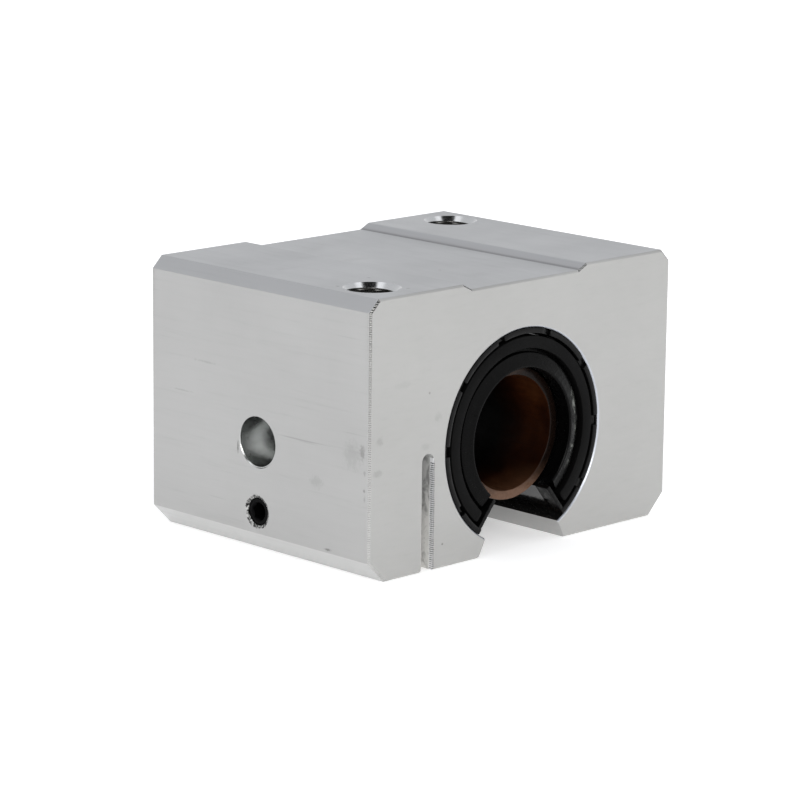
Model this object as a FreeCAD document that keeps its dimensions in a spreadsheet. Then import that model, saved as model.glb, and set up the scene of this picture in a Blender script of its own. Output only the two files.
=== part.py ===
"""Open-type linear bearing block, shaft size 25, with an adjusting slit.

An extruded and machined aluminium housing holds an open ball bushing.  The shaft
runs along Y through the origin.  The mouth of the block points down (-Z), so that
a supported shaft can be held from below, and the carried table is bolted to the
two raised pads on top.

Frame: millimetres, origin on the shaft axis at the middle of the block's length,
+X across the block, +Y along the shaft, +Z up.
"""

import FreeCAD, Part
import Sketcher
import math
import os

V = FreeCAD.Vector
ROT = FreeCAD.Rotation

doc = FreeCAD.newDocument("linear_bearing_block")

# ----------------------------------------------------------------------------
# driving dimensions
# ----------------------------------------------------------------------------
DIMS = [
    # housing
    ("block_width", 78.0),
    ("block_length", 58.0),
    ("axis_to_top", 30.0),
    ("axis_to_base", 21.0),
    ("top_chamfer", 2.2),
    ("base_chamfer", 4.0),
    ("pad_inner_x", 16.1),
    ("recess_floor_x", 13.9),
    ("recess_depth", 1.1),
    ("bore_dia", 40.0),
    ("bore_edge_break", 0.3),
    ("end_edge_break", 0.5),
    ("lip_tip_x", 9.55),
    ("lip_base_x", 11.4),
    ("slit_outer_x", 26.0),
    ("slit_inner_x", 23.1),
    ("slit_top_z", 0.6),
    # tapped holes in the top pads
    ("tap_spacing_x", 60.0),
    ("tap_spacing_y", 40.0),
    ("tap_core_dia", 8.5),
    ("tap_depth", 25.0),
    ("tap_sink_dia", 10.4),
    ("tap_tip", 2.5),
    # lubrication port in the side
    ("port_dia", 9.3),
    ("port_depth", 10.4),
    ("port_sink_dia", 9.9),
    ("port_tip", 1.3),
    ("passage_dia", 5.0),
    # adjusting screw
    ("screw_hole_dia", 6.0),
    ("screw_drop", 13.0),
    ("screw_dia", 5.9),
    ("screw_length", 15.4),
    ("screw_setback", 0.35),
    ("screw_edge", 0.6),
    ("hex_across_flats", 3.0),
    ("hex_depth", 3.4),
    # locating pin
    ("pin_dia", 4.96),
    ("pin_inner_dia", 2.8),
    ("pin_length", 5.6),
    ("pin_outer_x", 22.7),
    # bushing
    ("shell_outer_r", 19.95),
    ("shell_inner_r", 18.75),
    ("shell_end_gap", 0.1),
    ("rim_inner_r", 18.9),
    ("rim_depth", 0.7),
    ("rim_gap_width", 1.7),
    ("retainer_outer_r", 18.55),
    ("retainer_inner_r", 12.9),
    ("retainer_length", 51.6),
    ("ring_outer_r", 18.42),
    ("ring_inner_r", 16.15),
    ("ring_thick", 2.9),
    ("ring_setback", 0.25),
    ("wiper_outer_r", 16.05),
    ("wiper_lip_r", 12.55),
    ("wiper_thick", 3.0),
    ("wiper_setback", 0.15),
    ("wiper_crest_r", 12.95),
    ("wiper_root_r", 15.3),
    ("wiper_rise", 0.65),
    ("mouth_inner_x", 6.47),
    ("mouth_inner_z", 10.70),
    ("mouth_outer_x", 11.19),
    ("mouth_outer_z", 16.58),
    ("end_wall_inner_r", 12.95),
    ("end_wall_thick", 0.8),
    ("end_wall_setback", 0.15),
    ("ring_end_gap", 0.9),
    # ball circuits
    ("ball_dia", 3.175),
    ("shaft_dia", 25.0),
    ("ball_clearance", 0.012),
    ("row_angle", 10.5),
    ("return_radius", 15.4),
    ("track_half_length", 17.0),
    ("track_clear_dia", 3.7),
    ("load_half_length", 13.4),
    ("groove_dia", 3.23),
    ("window_slot", 2.9),
    # bearing plates
    ("plate_width", 9.2),
    ("plate_length", 44.0),
    ("plate_under_w", 15.1),
    ("plate_back_r", 19.97),
    ("plate_crown", 0.26),
    ("pocket_clear", 0.3),
]
D = dict(DIMS)

sheet = doc.addObject("Spreadsheet::Sheet", "dims")
for i, (alias, value) in enumerate(DIMS, start=1):
    sheet.set("A%d" % i, alias)
    sheet.set("B%d" % i, repr(value))
    sheet.setAlias("B%d" % i, alias)
doc.recompute()

# angles of the five ball circuits about the shaft axis, from +X towards +Z
CIRCUITS = [90.0, 150.0, 210.0, 30.0, -30.0]
BALLS_PER_CIRCUIT = 25


def bind(obj, **expressions):
    """Bind properties of one object to the sheet; double underscores stand for dots."""
    for prop, text in expressions.items():
        obj.setExpression(prop.replace("__", "."), text)
    return obj


def origin_plane(body, role):
    for feature in body.Origin.OriginFeatures:
        if feature.Role == role:
            return feature
    raise RuntimeError("no origin plane " + role)


def new_sketch(body, name, role="XZ_Plane"):
    sk = body.newObject("Sketcher::SketchObject", name)
    sk.AttachmentSupport = [(origin_plane(body, role), "")]
    sk.MapMode = "FlatFace"
    return sk


def dimension(sk, constraint, name, text):
    index = sk.addConstraint(constraint)
    sk.renameConstraint(index, name)
    sk.setExpression("Constraints." + name, text)
    return index


def pad(body, sketch, name, text):
    feature = body.newObject("PartDesign::Pad", name)
    feature.Profile = sketch
    feature.Midplane = True
    feature.setExpression("Length", text)
    body.Tip = feature
    sketch.Visibility = False
    return feature


def cylinder(name, radius, height, placement):
    obj = doc.addObject("Part::Cylinder", name)
    bind(obj, Radius=radius, Height=height)
    obj.Placement = placement
    return obj


def cone(name, radius_low, radius_high, height, placement):
    obj = doc.addObject("Part::Cone", name)
    bind(obj, Radius1=radius_low, Radius2=radius_high, Height=height)
    obj.Placement = placement
    return obj


def box(name, length, width, height, placement):
    obj = doc.addObject("Part::Box", name)
    bind(obj, Length=length, Width=width, Height=height)
    obj.Placement = placement
    return obj


def fuse(name, shapes):
    obj = doc.addObject("Part::MultiFuse", name)
    obj.Shapes = shapes
    return obj


def cut(name, base, tool):
    obj = doc.addObject("Part::Cut", name)
    obj.Base = base
    obj.Tool = tool
    return obj


ALONG_Y = ROT(V(1, 0, 0), -90)  # turns +Z into +Y
ALONG_MINUS_Y = ROT(V(1, 0, 0), 90)
ALONG_X = ROT(V(0, 1, 0), 90)  # turns +Z into +X
HALF_L = D["block_length"] / 2.0

# ----------------------------------------------------------------------------
# housing: one extrusion profile with bore, mouth, slit, chamfers and top recess
# ----------------------------------------------------------------------------
W2 = D["block_width"] / 2.0
TOP = D["axis_to_top"]
BASE = -D["axis_to_base"]
TC, BC = D["top_chamfer"], D["base_chamfer"]
RB = D["bore_dia"] / 2.0
LIP_Z = -math.sqrt(RB**2 - D["lip_tip_x"] ** 2)
SLIT_R = (D["slit_outer_x"] - D["slit_inner_x"]) / 2.0
SLIT_C = D["slit_top_z"] - SLIT_R

half = "dims.block_width / 2"
corners = [
    # x, z, expression of x, expression of z (None where the bore circle gives it)
    (D["lip_tip_x"], LIP_Z, "dims.lip_tip_x", None),
    (D["lip_base_x"], BASE, "dims.lip_base_x", "-dims.axis_to_base"),
    (W2 - BC, BASE, half + " - dims.base_chamfer", "-dims.axis_to_base"),
    (W2, BASE + BC, half, "-dims.axis_to_base + dims.base_chamfer"),
    (W2, TOP - TC, half, "dims.axis_to_top - dims.top_chamfer"),
    (W2 - TC, TOP, half + " - dims.top_chamfer", "dims.axis_to_top"),
    (D["pad_inner_x"], TOP, "dims.pad_inner_x", "dims.axis_to_top"),
    (D["recess_floor_x"], TOP - D["recess_depth"], "dims.recess_floor_x", "dims.axis_to_top - dims.recess_depth"),
    (-D["recess_floor_x"], TOP - D["recess_depth"], "-dims.recess_floor_x", "dims.axis_to_top - dims.recess_depth"),
    (-D["pad_inner_x"], TOP, "-dims.pad_inner_x", "dims.axis_to_top"),
    (-(W2 - TC), TOP, "-(" + half + ") + dims.top_chamfer", "dims.axis_to_top"),
    (-W2, TOP - TC, "-(" + half + ")", "dims.axis_to_top - dims.top_chamfer"),
    (-W2, BASE + BC, "-(" + half + ")", "-dims.axis_to_base + dims.base_chamfer"),
    (-(W2 - BC), BASE, "-(" + half + ") + dims.base_chamfer", "-dims.axis_to_base"),
    (-D["slit_outer_x"], BASE, "-dims.slit_outer_x", "-dims.axis_to_base"),
    (-D["slit_outer_x"], SLIT_C, "-dims.slit_outer_x", "dims.slit_top_z - (dims.slit_outer_x - dims.slit_inner_x) / 2"),
    (-D["slit_inner_x"], SLIT_C, "-dims.slit_inner_x", "dims.slit_top_z - (dims.slit_outer_x - dims.slit_inner_x) / 2"),
    (-D["slit_inner_x"], BASE, "-dims.slit_inner_x", "-dims.axis_to_base"),
    (-D["lip_base_x"], BASE, "-dims.lip_base_x", "-dims.axis_to_base"),
    (-D["lip_tip_x"], LIP_Z, "-dims.lip_tip_x", None),
]
SLIT_EDGE = 15  # the edge from corner 15 to corner 16 is the slit's round end

housing_body = doc.addObject("PartDesign::Body", "housing_blank")
sk = new_sketch(housing_body, "housing_profile")
n = len(corners)
for i in range(n):
    x0, z0 = corners[i][:2]
    x1, z1 = corners[(i + 1) % n][:2]
    if i == n - 1:  # the bore, over the top from the left lip to the right lip
        a1 = math.atan2(z1, x1)
        a0 = math.atan2(z0, x0)
        circle = Part.Circle(V(0, 0, 0), V(0, 0, 1), RB)
        sk.addGeometry(Part.ArcOfCircle(circle, a1, a0 + 2 * math.pi), False)
    elif i == SLIT_EDGE:
        circle = Part.Circle(V(-(D["slit_outer_x"] - SLIT_R), SLIT_C, 0), V(0, 0, 1), SLIT_R)
        sk.addGeometry(Part.ArcOfCircle(circle, 0.0, math.pi), False)
    else:
        sk.addGeometry(Part.LineSegment(V(x0, z0, 0), V(x1, z1, 0)), False)


def start_of(i):
    # both arcs run anticlockwise, so the chain meets them at their ends first
    return 2 if i in (n - 1, SLIT_EDGE) else 1


def end_of(i):
    return 1 if i in (n - 1, SLIT_EDGE) else 2


for i in range(n):
    j = (i + 1) % n
    sk.addConstraint(Sketcher.Constraint("Coincident", i, end_of(i), j, start_of(j)))
sk.addConstraint(Sketcher.Constraint("Coincident", n - 1, 3, -1, 1))
dimension(sk, Sketcher.Constraint("Radius", n - 1, RB), "bore_radius", "dims.bore_dia / 2")
for i, (x, z, text_x, text_z) in enumerate(corners):
    dimension(sk, Sketcher.Constraint("DistanceX", -1, 1, i, start_of(i), x), "x%02d" % i, text_x)
    if text_z is not None:
        dimension(sk, Sketcher.Constraint("DistanceY", -1, 1, i, start_of(i), z), "z%02d" % i, text_z)
dimension(sk, Sketcher.Constraint("DistanceY", -1, 1, SLIT_EDGE, 3, SLIT_C), "slit_centre",
          "dims.slit_top_z - (dims.slit_outer_x - dims.slit_inner_x) / 2")
housing_pad = pad(housing_body, sk, "housing_pad", "dims.block_length")
doc.recompute()

# a small edge break round both end faces, on the outer outline only
names = []
for k, edge in enumerate(housing_pad.Shape.Edges, start=1):
    if not isinstance(edge.Curve, Part.Line):
        continue
    a, b = edge.Vertexes[0].Point, edge.Vertexes[-1].Point
    if abs(a.y - b.y) > 1e-6 or abs(abs(a.y) - HALF_L) > 1e-6:
        continue
    mid = (a + b) * 0.5
    in_slit = abs(abs(mid.x + (D["slit_outer_x"] + D["slit_inner_x"]) / 2) - SLIT_R) < 0.01 and mid.z > BASE + 0.5
    in_mouth = abs(mid.x) < D["lip_base_x"] and mid.z < 0
    if not in_slit and not in_mouth:
        names.append("Edge%d" % k)
edge_break = housing_body.newObject("PartDesign::Chamfer", "end_edge_break")
edge_break.Base = (housing_pad, names)
edge_break.setExpression("Size", "dims.end_edge_break")
housing_body.Tip = edge_break
doc.recompute()

holes = []
for tag, sx, sy in (("near", -1, -1), ("far", 1, 1)):
    px, py = sx * D["tap_spacing_x"] / 2, sy * D["tap_spacing_y"] / 2
    down = ROT(V(1, 0, 0), 180)
    for obj, pz in (
        (cylinder("tap_core_" + tag, "dims.tap_core_dia / 2", "dims.tap_depth", FreeCAD.Placement(V(px, py, TOP), down)), "dims.axis_to_top"),
        (cone("tap_tip_" + tag, "dims.tap_core_dia / 2", "0", "dims.tap_tip",
              FreeCAD.Placement(V(px, py, TOP - D["tap_depth"]), down)), "dims.axis_to_top - dims.tap_depth"),
        (cone("tap_sink_" + tag, "dims.tap_sink_dia / 2", "dims.tap_core_dia / 2", "(dims.tap_sink_dia - dims.tap_core_dia) / 2",
              FreeCAD.Placement(V(px, py, TOP), down)), "dims.axis_to_top"),
    ):
        bind(obj, Placement__Base__x="%d * dims.tap_spacing_x / 2" % sx,
             Placement__Base__y="%d * dims.tap_spacing_y / 2" % sy, Placement__Base__z=pz)
        holes.append(obj)

port = cylinder("port_bore", "dims.port_dia / 2", "dims.port_depth", FreeCAD.Placement(V(-W2, 0, 0), ALONG_X))
port_tip = cone("port_tip", "dims.port_dia / 2", "dims.passage_dia / 2", "dims.port_tip",
                FreeCAD.Placement(V(-W2 + D["port_depth"], 0, 0), ALONG_X))
port_sink = cone("port_sink", "dims.port_sink_dia / 2", "dims.port_dia / 2", "(dims.port_sink_dia - dims.port_dia) / 2",
                 FreeCAD.Placement(V(-W2, 0, 0), ALONG_X))
passage = cylinder("port_passage", "dims.passage_dia / 2", "dims.block_width / 2 - dims.bore_dia / 2 + 1",
                   FreeCAD.Placement(V(-W2, 0, 0), ALONG_X))
bind(port, Placement__Base__x="-dims.block_width / 2")
bind(port_tip, Placement__Base__x="-dims.block_width / 2 + dims.port_depth")
bind(port_sink, Placement__Base__x="-dims.block_width / 2")
bind(passage, Placement__Base__x="-dims.block_width / 2")
screw_hole = cylinder("screw_hole", "dims.screw_hole_dia / 2", "dims.block_width / 2 - dims.slit_inner_x - 1",
                      FreeCAD.Placement(V(-W2, 0, -D["screw_drop"]), ALONG_X))
bind(screw_hole, Placement__Base__x="-dims.block_width / 2", Placement__Base__z="-dims.screw_drop")
holes += [port, port_tip, port_sink, passage, screw_hole]
for tag, sy, rotation in (("front", -1, ALONG_Y), ("rear", 1, ALONG_MINUS_Y)):
    obj = cone("bore_break_" + tag, "dims.bore_dia / 2 + dims.bore_edge_break", "dims.bore_dia / 2", "dims.bore_edge_break",
               FreeCAD.Placement(V(0, sy * HALF_L, 0), rotation))
    bind(obj, Placement__Base__y="%d * dims.block_length / 2" % sy)
    holes.append(obj)
housing = cut("housing", housing_body, fuse("housing_holes", holes))

# ----------------------------------------------------------------------------
# adjusting screw: a socket set screw that bears on the leaf beside the slit
# ----------------------------------------------------------------------------
screw_x = -W2 + D["screw_setback"]
screw_rod = cylinder("screw_rod", "dims.screw_dia / 2", "dims.screw_length - 2 * dims.screw_edge",
                     FreeCAD.Placement(V(screw_x + D["screw_edge"], 0, -D["screw_drop"]), ALONG_X))
screw_head = cone("screw_head_edge", "dims.screw_dia / 2 - dims.screw_edge", "dims.screw_dia / 2", "dims.screw_edge",
                  FreeCAD.Placement(V(screw_x, 0, -D["screw_drop"]), ALONG_X))
screw_point = cone("screw_point", "dims.screw_dia / 2", "dims.screw_dia / 2 - 1.4 * dims.screw_edge", "dims.screw_edge",
                   FreeCAD.Placement(V(screw_x + D["screw_length"] - D["screw_edge"], 0, -D["screw_drop"]), ALONG_X))
bind(screw_rod, Placement__Base__x="-dims.block_width / 2 + dims.screw_setback + dims.screw_edge", Placement__Base__z="-dims.screw_drop")
bind(screw_head, Placement__Base__x="-dims.block_width / 2 + dims.screw_setback", Placement__Base__z="-dims.screw_drop")
bind(screw_point, Placement__Base__x="-dims.block_width / 2 + dims.screw_setback + dims.screw_length - dims.screw_edge",
     Placement__Base__z="-dims.screw_drop")
hex_socket = doc.addObject("Part::Prism", "screw_socket")
hex_socket.Polygon = 6
bind(hex_socket, Circumradius="dims.hex_across_flats / 2 / cos(30 deg)", Height="dims.hex_depth")
hex_socket.Placement = FreeCAD.Placement(V(screw_x, 0, -D["screw_drop"]), ALONG_X)
bind(hex_socket, Placement__Base__x="-dims.block_width / 2 + dims.screw_setback", Placement__Base__z="-dims.screw_drop")
socket_tip = cone("screw_socket_tip", "dims.hex_across_flats / 2", "0.2", "0.7",
                  FreeCAD.Placement(V(screw_x + D["hex_depth"], 0, -D["screw_drop"]), ALONG_X))
bind(socket_tip, Placement__Base__x="-dims.block_width / 2 + dims.screw_setback + dims.hex_depth", Placement__Base__z="-dims.screw_drop")
adjusting_screw = cut("adjusting_screw", fuse("screw_solid", [screw_rod, screw_head, screw_point]),
                      fuse("screw_socket_cut", [hex_socket, socket_tip]))

# ----------------------------------------------------------------------------
# locating pin: a hollow pin, pressed in the leaf, that keys the bushing in its bore
# ----------------------------------------------------------------------------
pin_out = cylinder("pin_outside", "dims.pin_dia / 2", "dims.pin_length", FreeCAD.Placement(V(-D["pin_outer_x"], 0, 0), ALONG_X))
pin_in = cylinder("pin_inside", "dims.pin_inner_dia / 2", "dims.pin_length + 2", FreeCAD.Placement(V(-D["pin_outer_x"] - 1, 0, 0), ALONG_X))
bind(pin_out, Placement__Base__x="-dims.pin_outer_x")
bind(pin_in, Placement__Base__x="-dims.pin_outer_x - 1")
locating_pin = cut("locating_pin", pin_out, pin_in)

# ----------------------------------------------------------------------------
# open rings of the bushing: a pad of a C-shaped sketch with straight mouth faces
# ----------------------------------------------------------------------------
MOUTH_SLOPE = (D["mouth_outer_x"] - D["mouth_inner_x"]) / (D["mouth_outer_z"] - D["mouth_inner_z"])


def mouth_point(radius):
    """Where the right-hand mouth face meets a circle of this radius."""
    lo, hi = 0.0, 1.0
    x0, z0 = D["mouth_inner_x"], -D["mouth_inner_z"]
    dx, dz = D["mouth_outer_x"] - x0, -D["mouth_outer_z"] - z0
    a = dx * dx + dz * dz
    b = 2 * (x0 * dx + z0 * dz)
    c = x0 * x0 + z0 * z0 - radius * radius
    t = (-b + math.sqrt(b * b - 4 * a * c)) / (2 * a)
    return x0 + t * dx, z0 + t * dz


def open_ring(name, inner, outer, inner_text, outer_text, length_text, centre_text):
    """C-shaped ring about the shaft axis; its middle lies at centre_text along Y."""
    body = doc.addObject("PartDesign::Body", name)
    s = new_sketch(body, name + "_profile")
    (xi, zi), (xo, zo) = mouth_point(inner), mouth_point(outer)
    full = 2 * math.pi
    s.addGeometry(Part.ArcOfCircle(Part.Circle(V(0, 0, 0), V(0, 0, 1), outer), math.atan2(zo, xo), math.atan2(zo, -xo) + full), False)
    s.addGeometry(Part.ArcOfCircle(Part.Circle(V(0, 0, 0), V(0, 0, 1), inner), math.atan2(zi, xi), math.atan2(zi, -xi) + full), False)
    s.addGeometry(Part.LineSegment(V(xi, zi, 0), V(xo, zo, 0)), False)
    s.addGeometry(Part.LineSegment(V(-xi, zi, 0), V(-xo, zo, 0)), False)
    for arc in (0, 1):
        s.addConstraint(Sketcher.Constraint("Coincident", arc, 3, -1, 1))
    s.addConstraint(Sketcher.Constraint("Coincident", 2, 1, 1, 1))
    s.addConstraint(Sketcher.Constraint("Coincident", 2, 2, 0, 1))
    s.addConstraint(Sketcher.Constraint("Coincident", 3, 1, 1, 2))
    s.addConstraint(Sketcher.Constraint("Coincident", 3, 2, 0, 2))
    dimension(s, Sketcher.Constraint("Radius", 0, outer), "outer_radius", outer_text)
    dimension(s, Sketcher.Constraint("Radius", 1, inner), "inner_radius", inner_text)
    # the mouth faces lean outwards; their ends follow from the line through the
    # two mouth points of the sheet
    slope = "((dims.mouth_outer_x - dims.mouth_inner_x) / (dims.mouth_outer_z - dims.mouth_inner_z))"
    for tag, point, text in (("in", 1, inner_text), ("out", 2, outer_text)):
        # x on the line x = c + slope * depth and on the circle of radius text
        c = "(dims.mouth_inner_x - " + slope + " * dims.mouth_inner_z)"
        depth = ("((-(" + slope + ") * " + c + " + sqrt((1 + (" + slope + ")^2) * (" + text + ")^2 - " + c + "^2)) / (1 + (" + slope + ")^2))")
        full_x = c + " + " + slope + " * " + depth
        value = xi if point == 1 else xo
        dimension(s, Sketcher.Constraint("DistanceX", -1, 1, 2, point, value), "right_" + tag, full_x)
        dimension(s, Sketcher.Constraint("DistanceX", -1, 1, 3, point, -value), "left_" + tag, "-(" + full_x + ")")
    pad(body, s, name + "_pad", length_text)
    if centre_text:
        body.setExpression("Placement.Base.y", centre_text)
    return body


# outer shell of the bushing, with a castellated rim at each end and plate windows
shell_blank = open_ring("shell_blank", D["shell_inner_r"], D["shell_outer_r"], "dims.shell_inner_r", "dims.shell_outer_r",
                        "dims.block_length - 2 * dims.shell_end_gap", None)
shell_cuts = []
SHELL_END = HALF_L - D["shell_end_gap"]
for side, sy in (("front", -1), ("rear", 1)):
    for g in range(-1, 7):
        angle = g * 36.0
        # gaps of the castellated rim; the shell's mouth takes the rest
        obj = box("rim_gap_%s_%d" % (side, g + 1), "dims.rim_gap_width", "dims.rim_depth + 1", "3",
                  FreeCAD.Placement())
        turn = ROT(V(0, 1, 0), 90 - angle)
        corner = V(-D["rim_gap_width"] / 2, 0, D["rim_inner_r"] - 0.6)
        base = turn.multVec(corner)
        y0 = -SHELL_END - 1 if sy < 0 else SHELL_END - D["rim_depth"]
        obj.Placement = FreeCAD.Placement(V(base.x, y0, base.z), turn)
        bind(obj, Placement__Base__y=("-(dims.block_length / 2 - dims.shell_end_gap) - 1" if sy < 0
                                      else "dims.block_length / 2 - dims.shell_end_gap - dims.rim_depth"))
        shell_cuts.append(obj)


def local_place(angle, q, v, w, spin=None):
    """Placement in a circuit's own frame: q across it, v along the shaft, w out from the axis."""
    turn = ROT(V(0, 1, 0), 90 - angle)
    p = turn.multVec(V(q, v, w))
    return FreeCAD.Placement(p, turn if spin is None else turn.multiply(spin))


pin_clear = cylinder("pin_clear_shell", "dims.passage_dia / 2", "4", FreeCAD.Placement(V(-21, 0, 0), ALONG_X))
pin_clear_in = cylinder("pin_clear_retainer", "dims.passage_dia / 2", "4", FreeCAD.Placement(V(-21, 0, 0), ALONG_X))
grease_way = cylinder("grease_way", "dims.pin_inner_dia / 2", "10", FreeCAD.Placement(V(-21, 0, 0), ALONG_X))
shell_cuts.append(pin_clear)
for k, angle in enumerate(CIRCUITS, start=1):
    shell_cuts.append(box("shell_window_%d" % k, "dims.plate_width + 2 * dims.pocket_clear", "dims.plate_length + 2 * dims.pocket_clear", "8",
                          local_place(angle, -D["plate_width"] / 2 - D["pocket_clear"], -D["plate_length"] / 2 - D["pocket_clear"], 14)))


def mouth_slab(name, sx, sy, depth, depth_text):
    """Slab along one mouth face, at one end, reaching depth into the bushing from that face."""
    along = V(sx * (D["mouth_outer_x"] - D["mouth_inner_x"]), 0, -(D["mouth_outer_z"] - D["mouth_inner_z"])).normalize()
    into = V(-sx * along.z, 0, sx * along.x)
    turn = ROT(V(0, 1, 0), math.degrees(math.atan2(-along.z, along.x)))
    base = V(sx * D["mouth_inner_x"], 0, -D["mouth_inner_z"]) - along * 4.0 + into * (-1.0 if sx > 0 else depth)
    return box(name, "16", "6", "1 + " + depth_text, FreeCAD.Placement(V(base.x, 25.0 if sy > 0 else -31.0, base.z), turn))


# end walls of the shell: they close the ring channels at both mouth faces
end_walls = []
for side, sy in (("front", -1), ("rear", 1)):
    wall_blank = open_ring("end_wall_blank_" + side, D["end_wall_inner_r"], D["shell_inner_r"] + 0.1, "dims.end_wall_inner_r", "dims.shell_inner_r + 0.1",
                           "dims.ring_thick + 0.1", "%d * (dims.block_length / 2 - dims.end_wall_setback - (dims.ring_thick + 0.1) / 2)" % sy)
    slabs = fuse("end_wall_slabs_" + side, [mouth_slab("end_wall_slab_%s_%d" % (side, sx + 1), sx, sy, D["end_wall_thick"], "dims.end_wall_thick") for sx in (-1, 1)])
    wall = doc.addObject("Part::Common", "end_walls_" + side)
    wall.Base, wall.Tool = wall_blank, slabs
    end_walls.append(wall)
outer_shell = cut("outer_shell", fuse("shell_and_walls", [shell_blank] + end_walls), fuse("shell_cuts", shell_cuts))

# ----------------------------------------------------------------------------
# ball path of one circuit, in its own frame (q, v, w)
# ----------------------------------------------------------------------------
RBALL = D["ball_dia"] / 2
R_LOAD = D["shaft_dia"] / 2 + D["ball_clearance"] + RBALL
DELTA = math.radians(D["row_angle"])
Q0 = R_LOAD * math.sin(DELTA)
W_LOAD = R_LOAD * math.cos(DELTA)
W_BACK = math.sqrt(D["return_radius"] ** 2 - Q0**2)
BACK_ANGLE = math.degrees(math.atan2(Q0, W_BACK))
LH = D["track_half_length"]
STRAIGHT = 2 * LH
TURN = math.pi * Q0
LOOP = 2 * STRAIGHT + 2 * TURN


def ball_centre(s):
    """Centre of a ball at distance s round the circuit, starting mid-way along the load row."""
    s = s % LOOP
    # distance from the middle of the load row, either way round
    d = min(s, LOOP - s)
    if d <= LH:
        q, v = Q0, d
    elif d <= LH + TURN:
        t = (d - LH) / Q0
        q, v = Q0 * math.cos(t), LH + Q0 * math.sin(t)
    else:
        q, v = -Q0, LH - (d - LH - TURN)
    rise_start, rise_end = D["load_half_length"] + 0.2, LH + 0.75 * Q0
    u = min(1.0, max(0.0, (d - rise_start) / (rise_end - rise_start)))
    w = W_LOAD + (W_BACK - W_LOAD) * u * u * (3 - 2 * u)
    return q, (v if s <= LOOP / 2 else -v), w


ball_nodes = []
for k, angle in enumerate(CIRCUITS, start=1):
    members = []
    for b in range(BALLS_PER_CIRCUIT):
        q, v, w = ball_centre((b + 0.5) * LOOP / BALLS_PER_CIRCUIT)
        ball = doc.addObject("Part::Sphere", "ball_%d_%02d" % (k, b + 1))
        bind(ball, Radius="dims.ball_dia / 2")
        ball.Placement = local_place(angle, q, v, w)
        members.append(ball)
    group = doc.addObject("Part::Compound", "ball_circuit_%d" % k)
    group.Links = members
    ball_nodes.append(group)

# ----------------------------------------------------------------------------
# ball retainer: tracks, load slots and plate pockets cut from an open tube
# ----------------------------------------------------------------------------
retainer_blank = open_ring("retainer_blank", D["retainer_inner_r"], D["retainer_outer_r"], "dims.retainer_inner_r", "dims.retainer_outer_r",
                           "dims.retainer_length", None)
SPIN_Y = ROT(V(1, 0, 0), -90)


def row_cylinder(name, angle, radius_text, radius_at, half_length, length_text):
    """A round channel along Y, at this angle and distance from the shaft axis."""
    obj = cylinder(name, radius_text, length_text, local_place(angle, 0, -half_length, radius_at, SPIN_Y))
    return obj


retainer_cuts = [pin_clear_in, grease_way]
plates = []
for k, angle in enumerate(CIRCUITS, start=1):
    load_angle = angle - D["row_angle"]
    back_angle = angle + BACK_ANGLE
    tag = "_%d" % k
    slot_half = LH + 1.5
    retainer_cuts += [
        box("load_slot" + tag, "dims.window_slot", "2 * dims.track_half_length + 3", "3.6",
            local_place(load_angle, -D["window_slot"] / 2, -slot_half, 11.0)),
        row_cylinder("load_track" + tag, load_angle, "dims.track_clear_dia / 2", R_LOAD, LH, "2 * dims.track_half_length"),
        row_cylinder("back_track" + tag, back_angle, "dims.track_clear_dia / 2", D["return_radius"], LH, "2 * dims.track_half_length"),
        box("plate_pocket" + tag, "dims.plate_width + 2 * dims.pocket_clear", "dims.plate_length + 2 * dims.pocket_clear", "8",
            local_place(angle, -D["plate_width"] / 2 - D["pocket_clear"], -D["plate_length"] / 2 - D["pocket_clear"],
                        D["plate_under_w"] - D["pocket_clear"])),
    ]
    for side, sy in (("a", -1), ("b", 1)):
        retainer_cuts.append(cylinder("turn_track%s%s" % (tag, side), "%.6f + dims.track_clear_dia / 2" % Q0, "4",
                                      local_place(angle, 0, sy * LH, 13.25)))

    # bearing plate: hardened bar with a load groove, a return groove, relieved
    # ends and a crowned back on which it rocks in the bore
    blank = box("plate_bar" + tag, "dims.plate_width", "dims.plate_length", "8",
                local_place(angle, -D["plate_width"] / 2, -D["plate_length"] / 2, D["plate_under_w"]))
    crown = fuse("plate_crown" + tag, [
        cone("crown_front" + tag, "dims.plate_back_r - dims.plate_crown", "dims.plate_back_r", "dims.plate_length / 2",
             FreeCAD.Placement(V(0, -D["plate_length"] / 2, 0), ALONG_Y)),
        cone("crown_rear" + tag, "dims.plate_back_r - dims.plate_crown", "dims.plate_back_r", "dims.plate_length / 2",
             FreeCAD.Placement(V(0, D["plate_length"] / 2, 0), ALONG_MINUS_Y)),
    ])
    bar = doc.addObject("Part::Common", "plate_blank" + tag)
    bar.Base = blank
    bar.Tool = crown
    grooves = [
        row_cylinder("load_groove" + tag, load_angle, "dims.groove_dia / 2", R_LOAD, LH, "2 * dims.track_half_length"),
        row_cylinder("back_groove" + tag, back_angle, "dims.track_clear_dia / 2", D["return_radius"], LH, "2 * dims.track_half_length"),
    ]
    for side, sy in (("a", -1), ("b", 1)):
        grooves.append(cylinder("turn_relief%s%s" % (tag, side), "%.6f + dims.track_clear_dia / 2" % Q0, "4.0",
                                local_place(angle, 0, sy * LH, 13.1)))
        relief = LH - D["load_half_length"]
        start = -LH if sy < 0 else D["load_half_length"]
        grooves.append(cylinder("load_relief%s%s" % (tag, side), "dims.track_clear_dia / 2", "dims.track_half_length - dims.load_half_length",
                                local_place(load_angle, 0, start, D["return_radius"], SPIN_Y)))
    plates.append(cut("bearing_plate_%d" % k, bar, fuse("plate_grooves" + tag, grooves)))
ball_retainer = cut("ball_retainer", retainer_blank, fuse("retainer_cuts", retainer_cuts))

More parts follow.
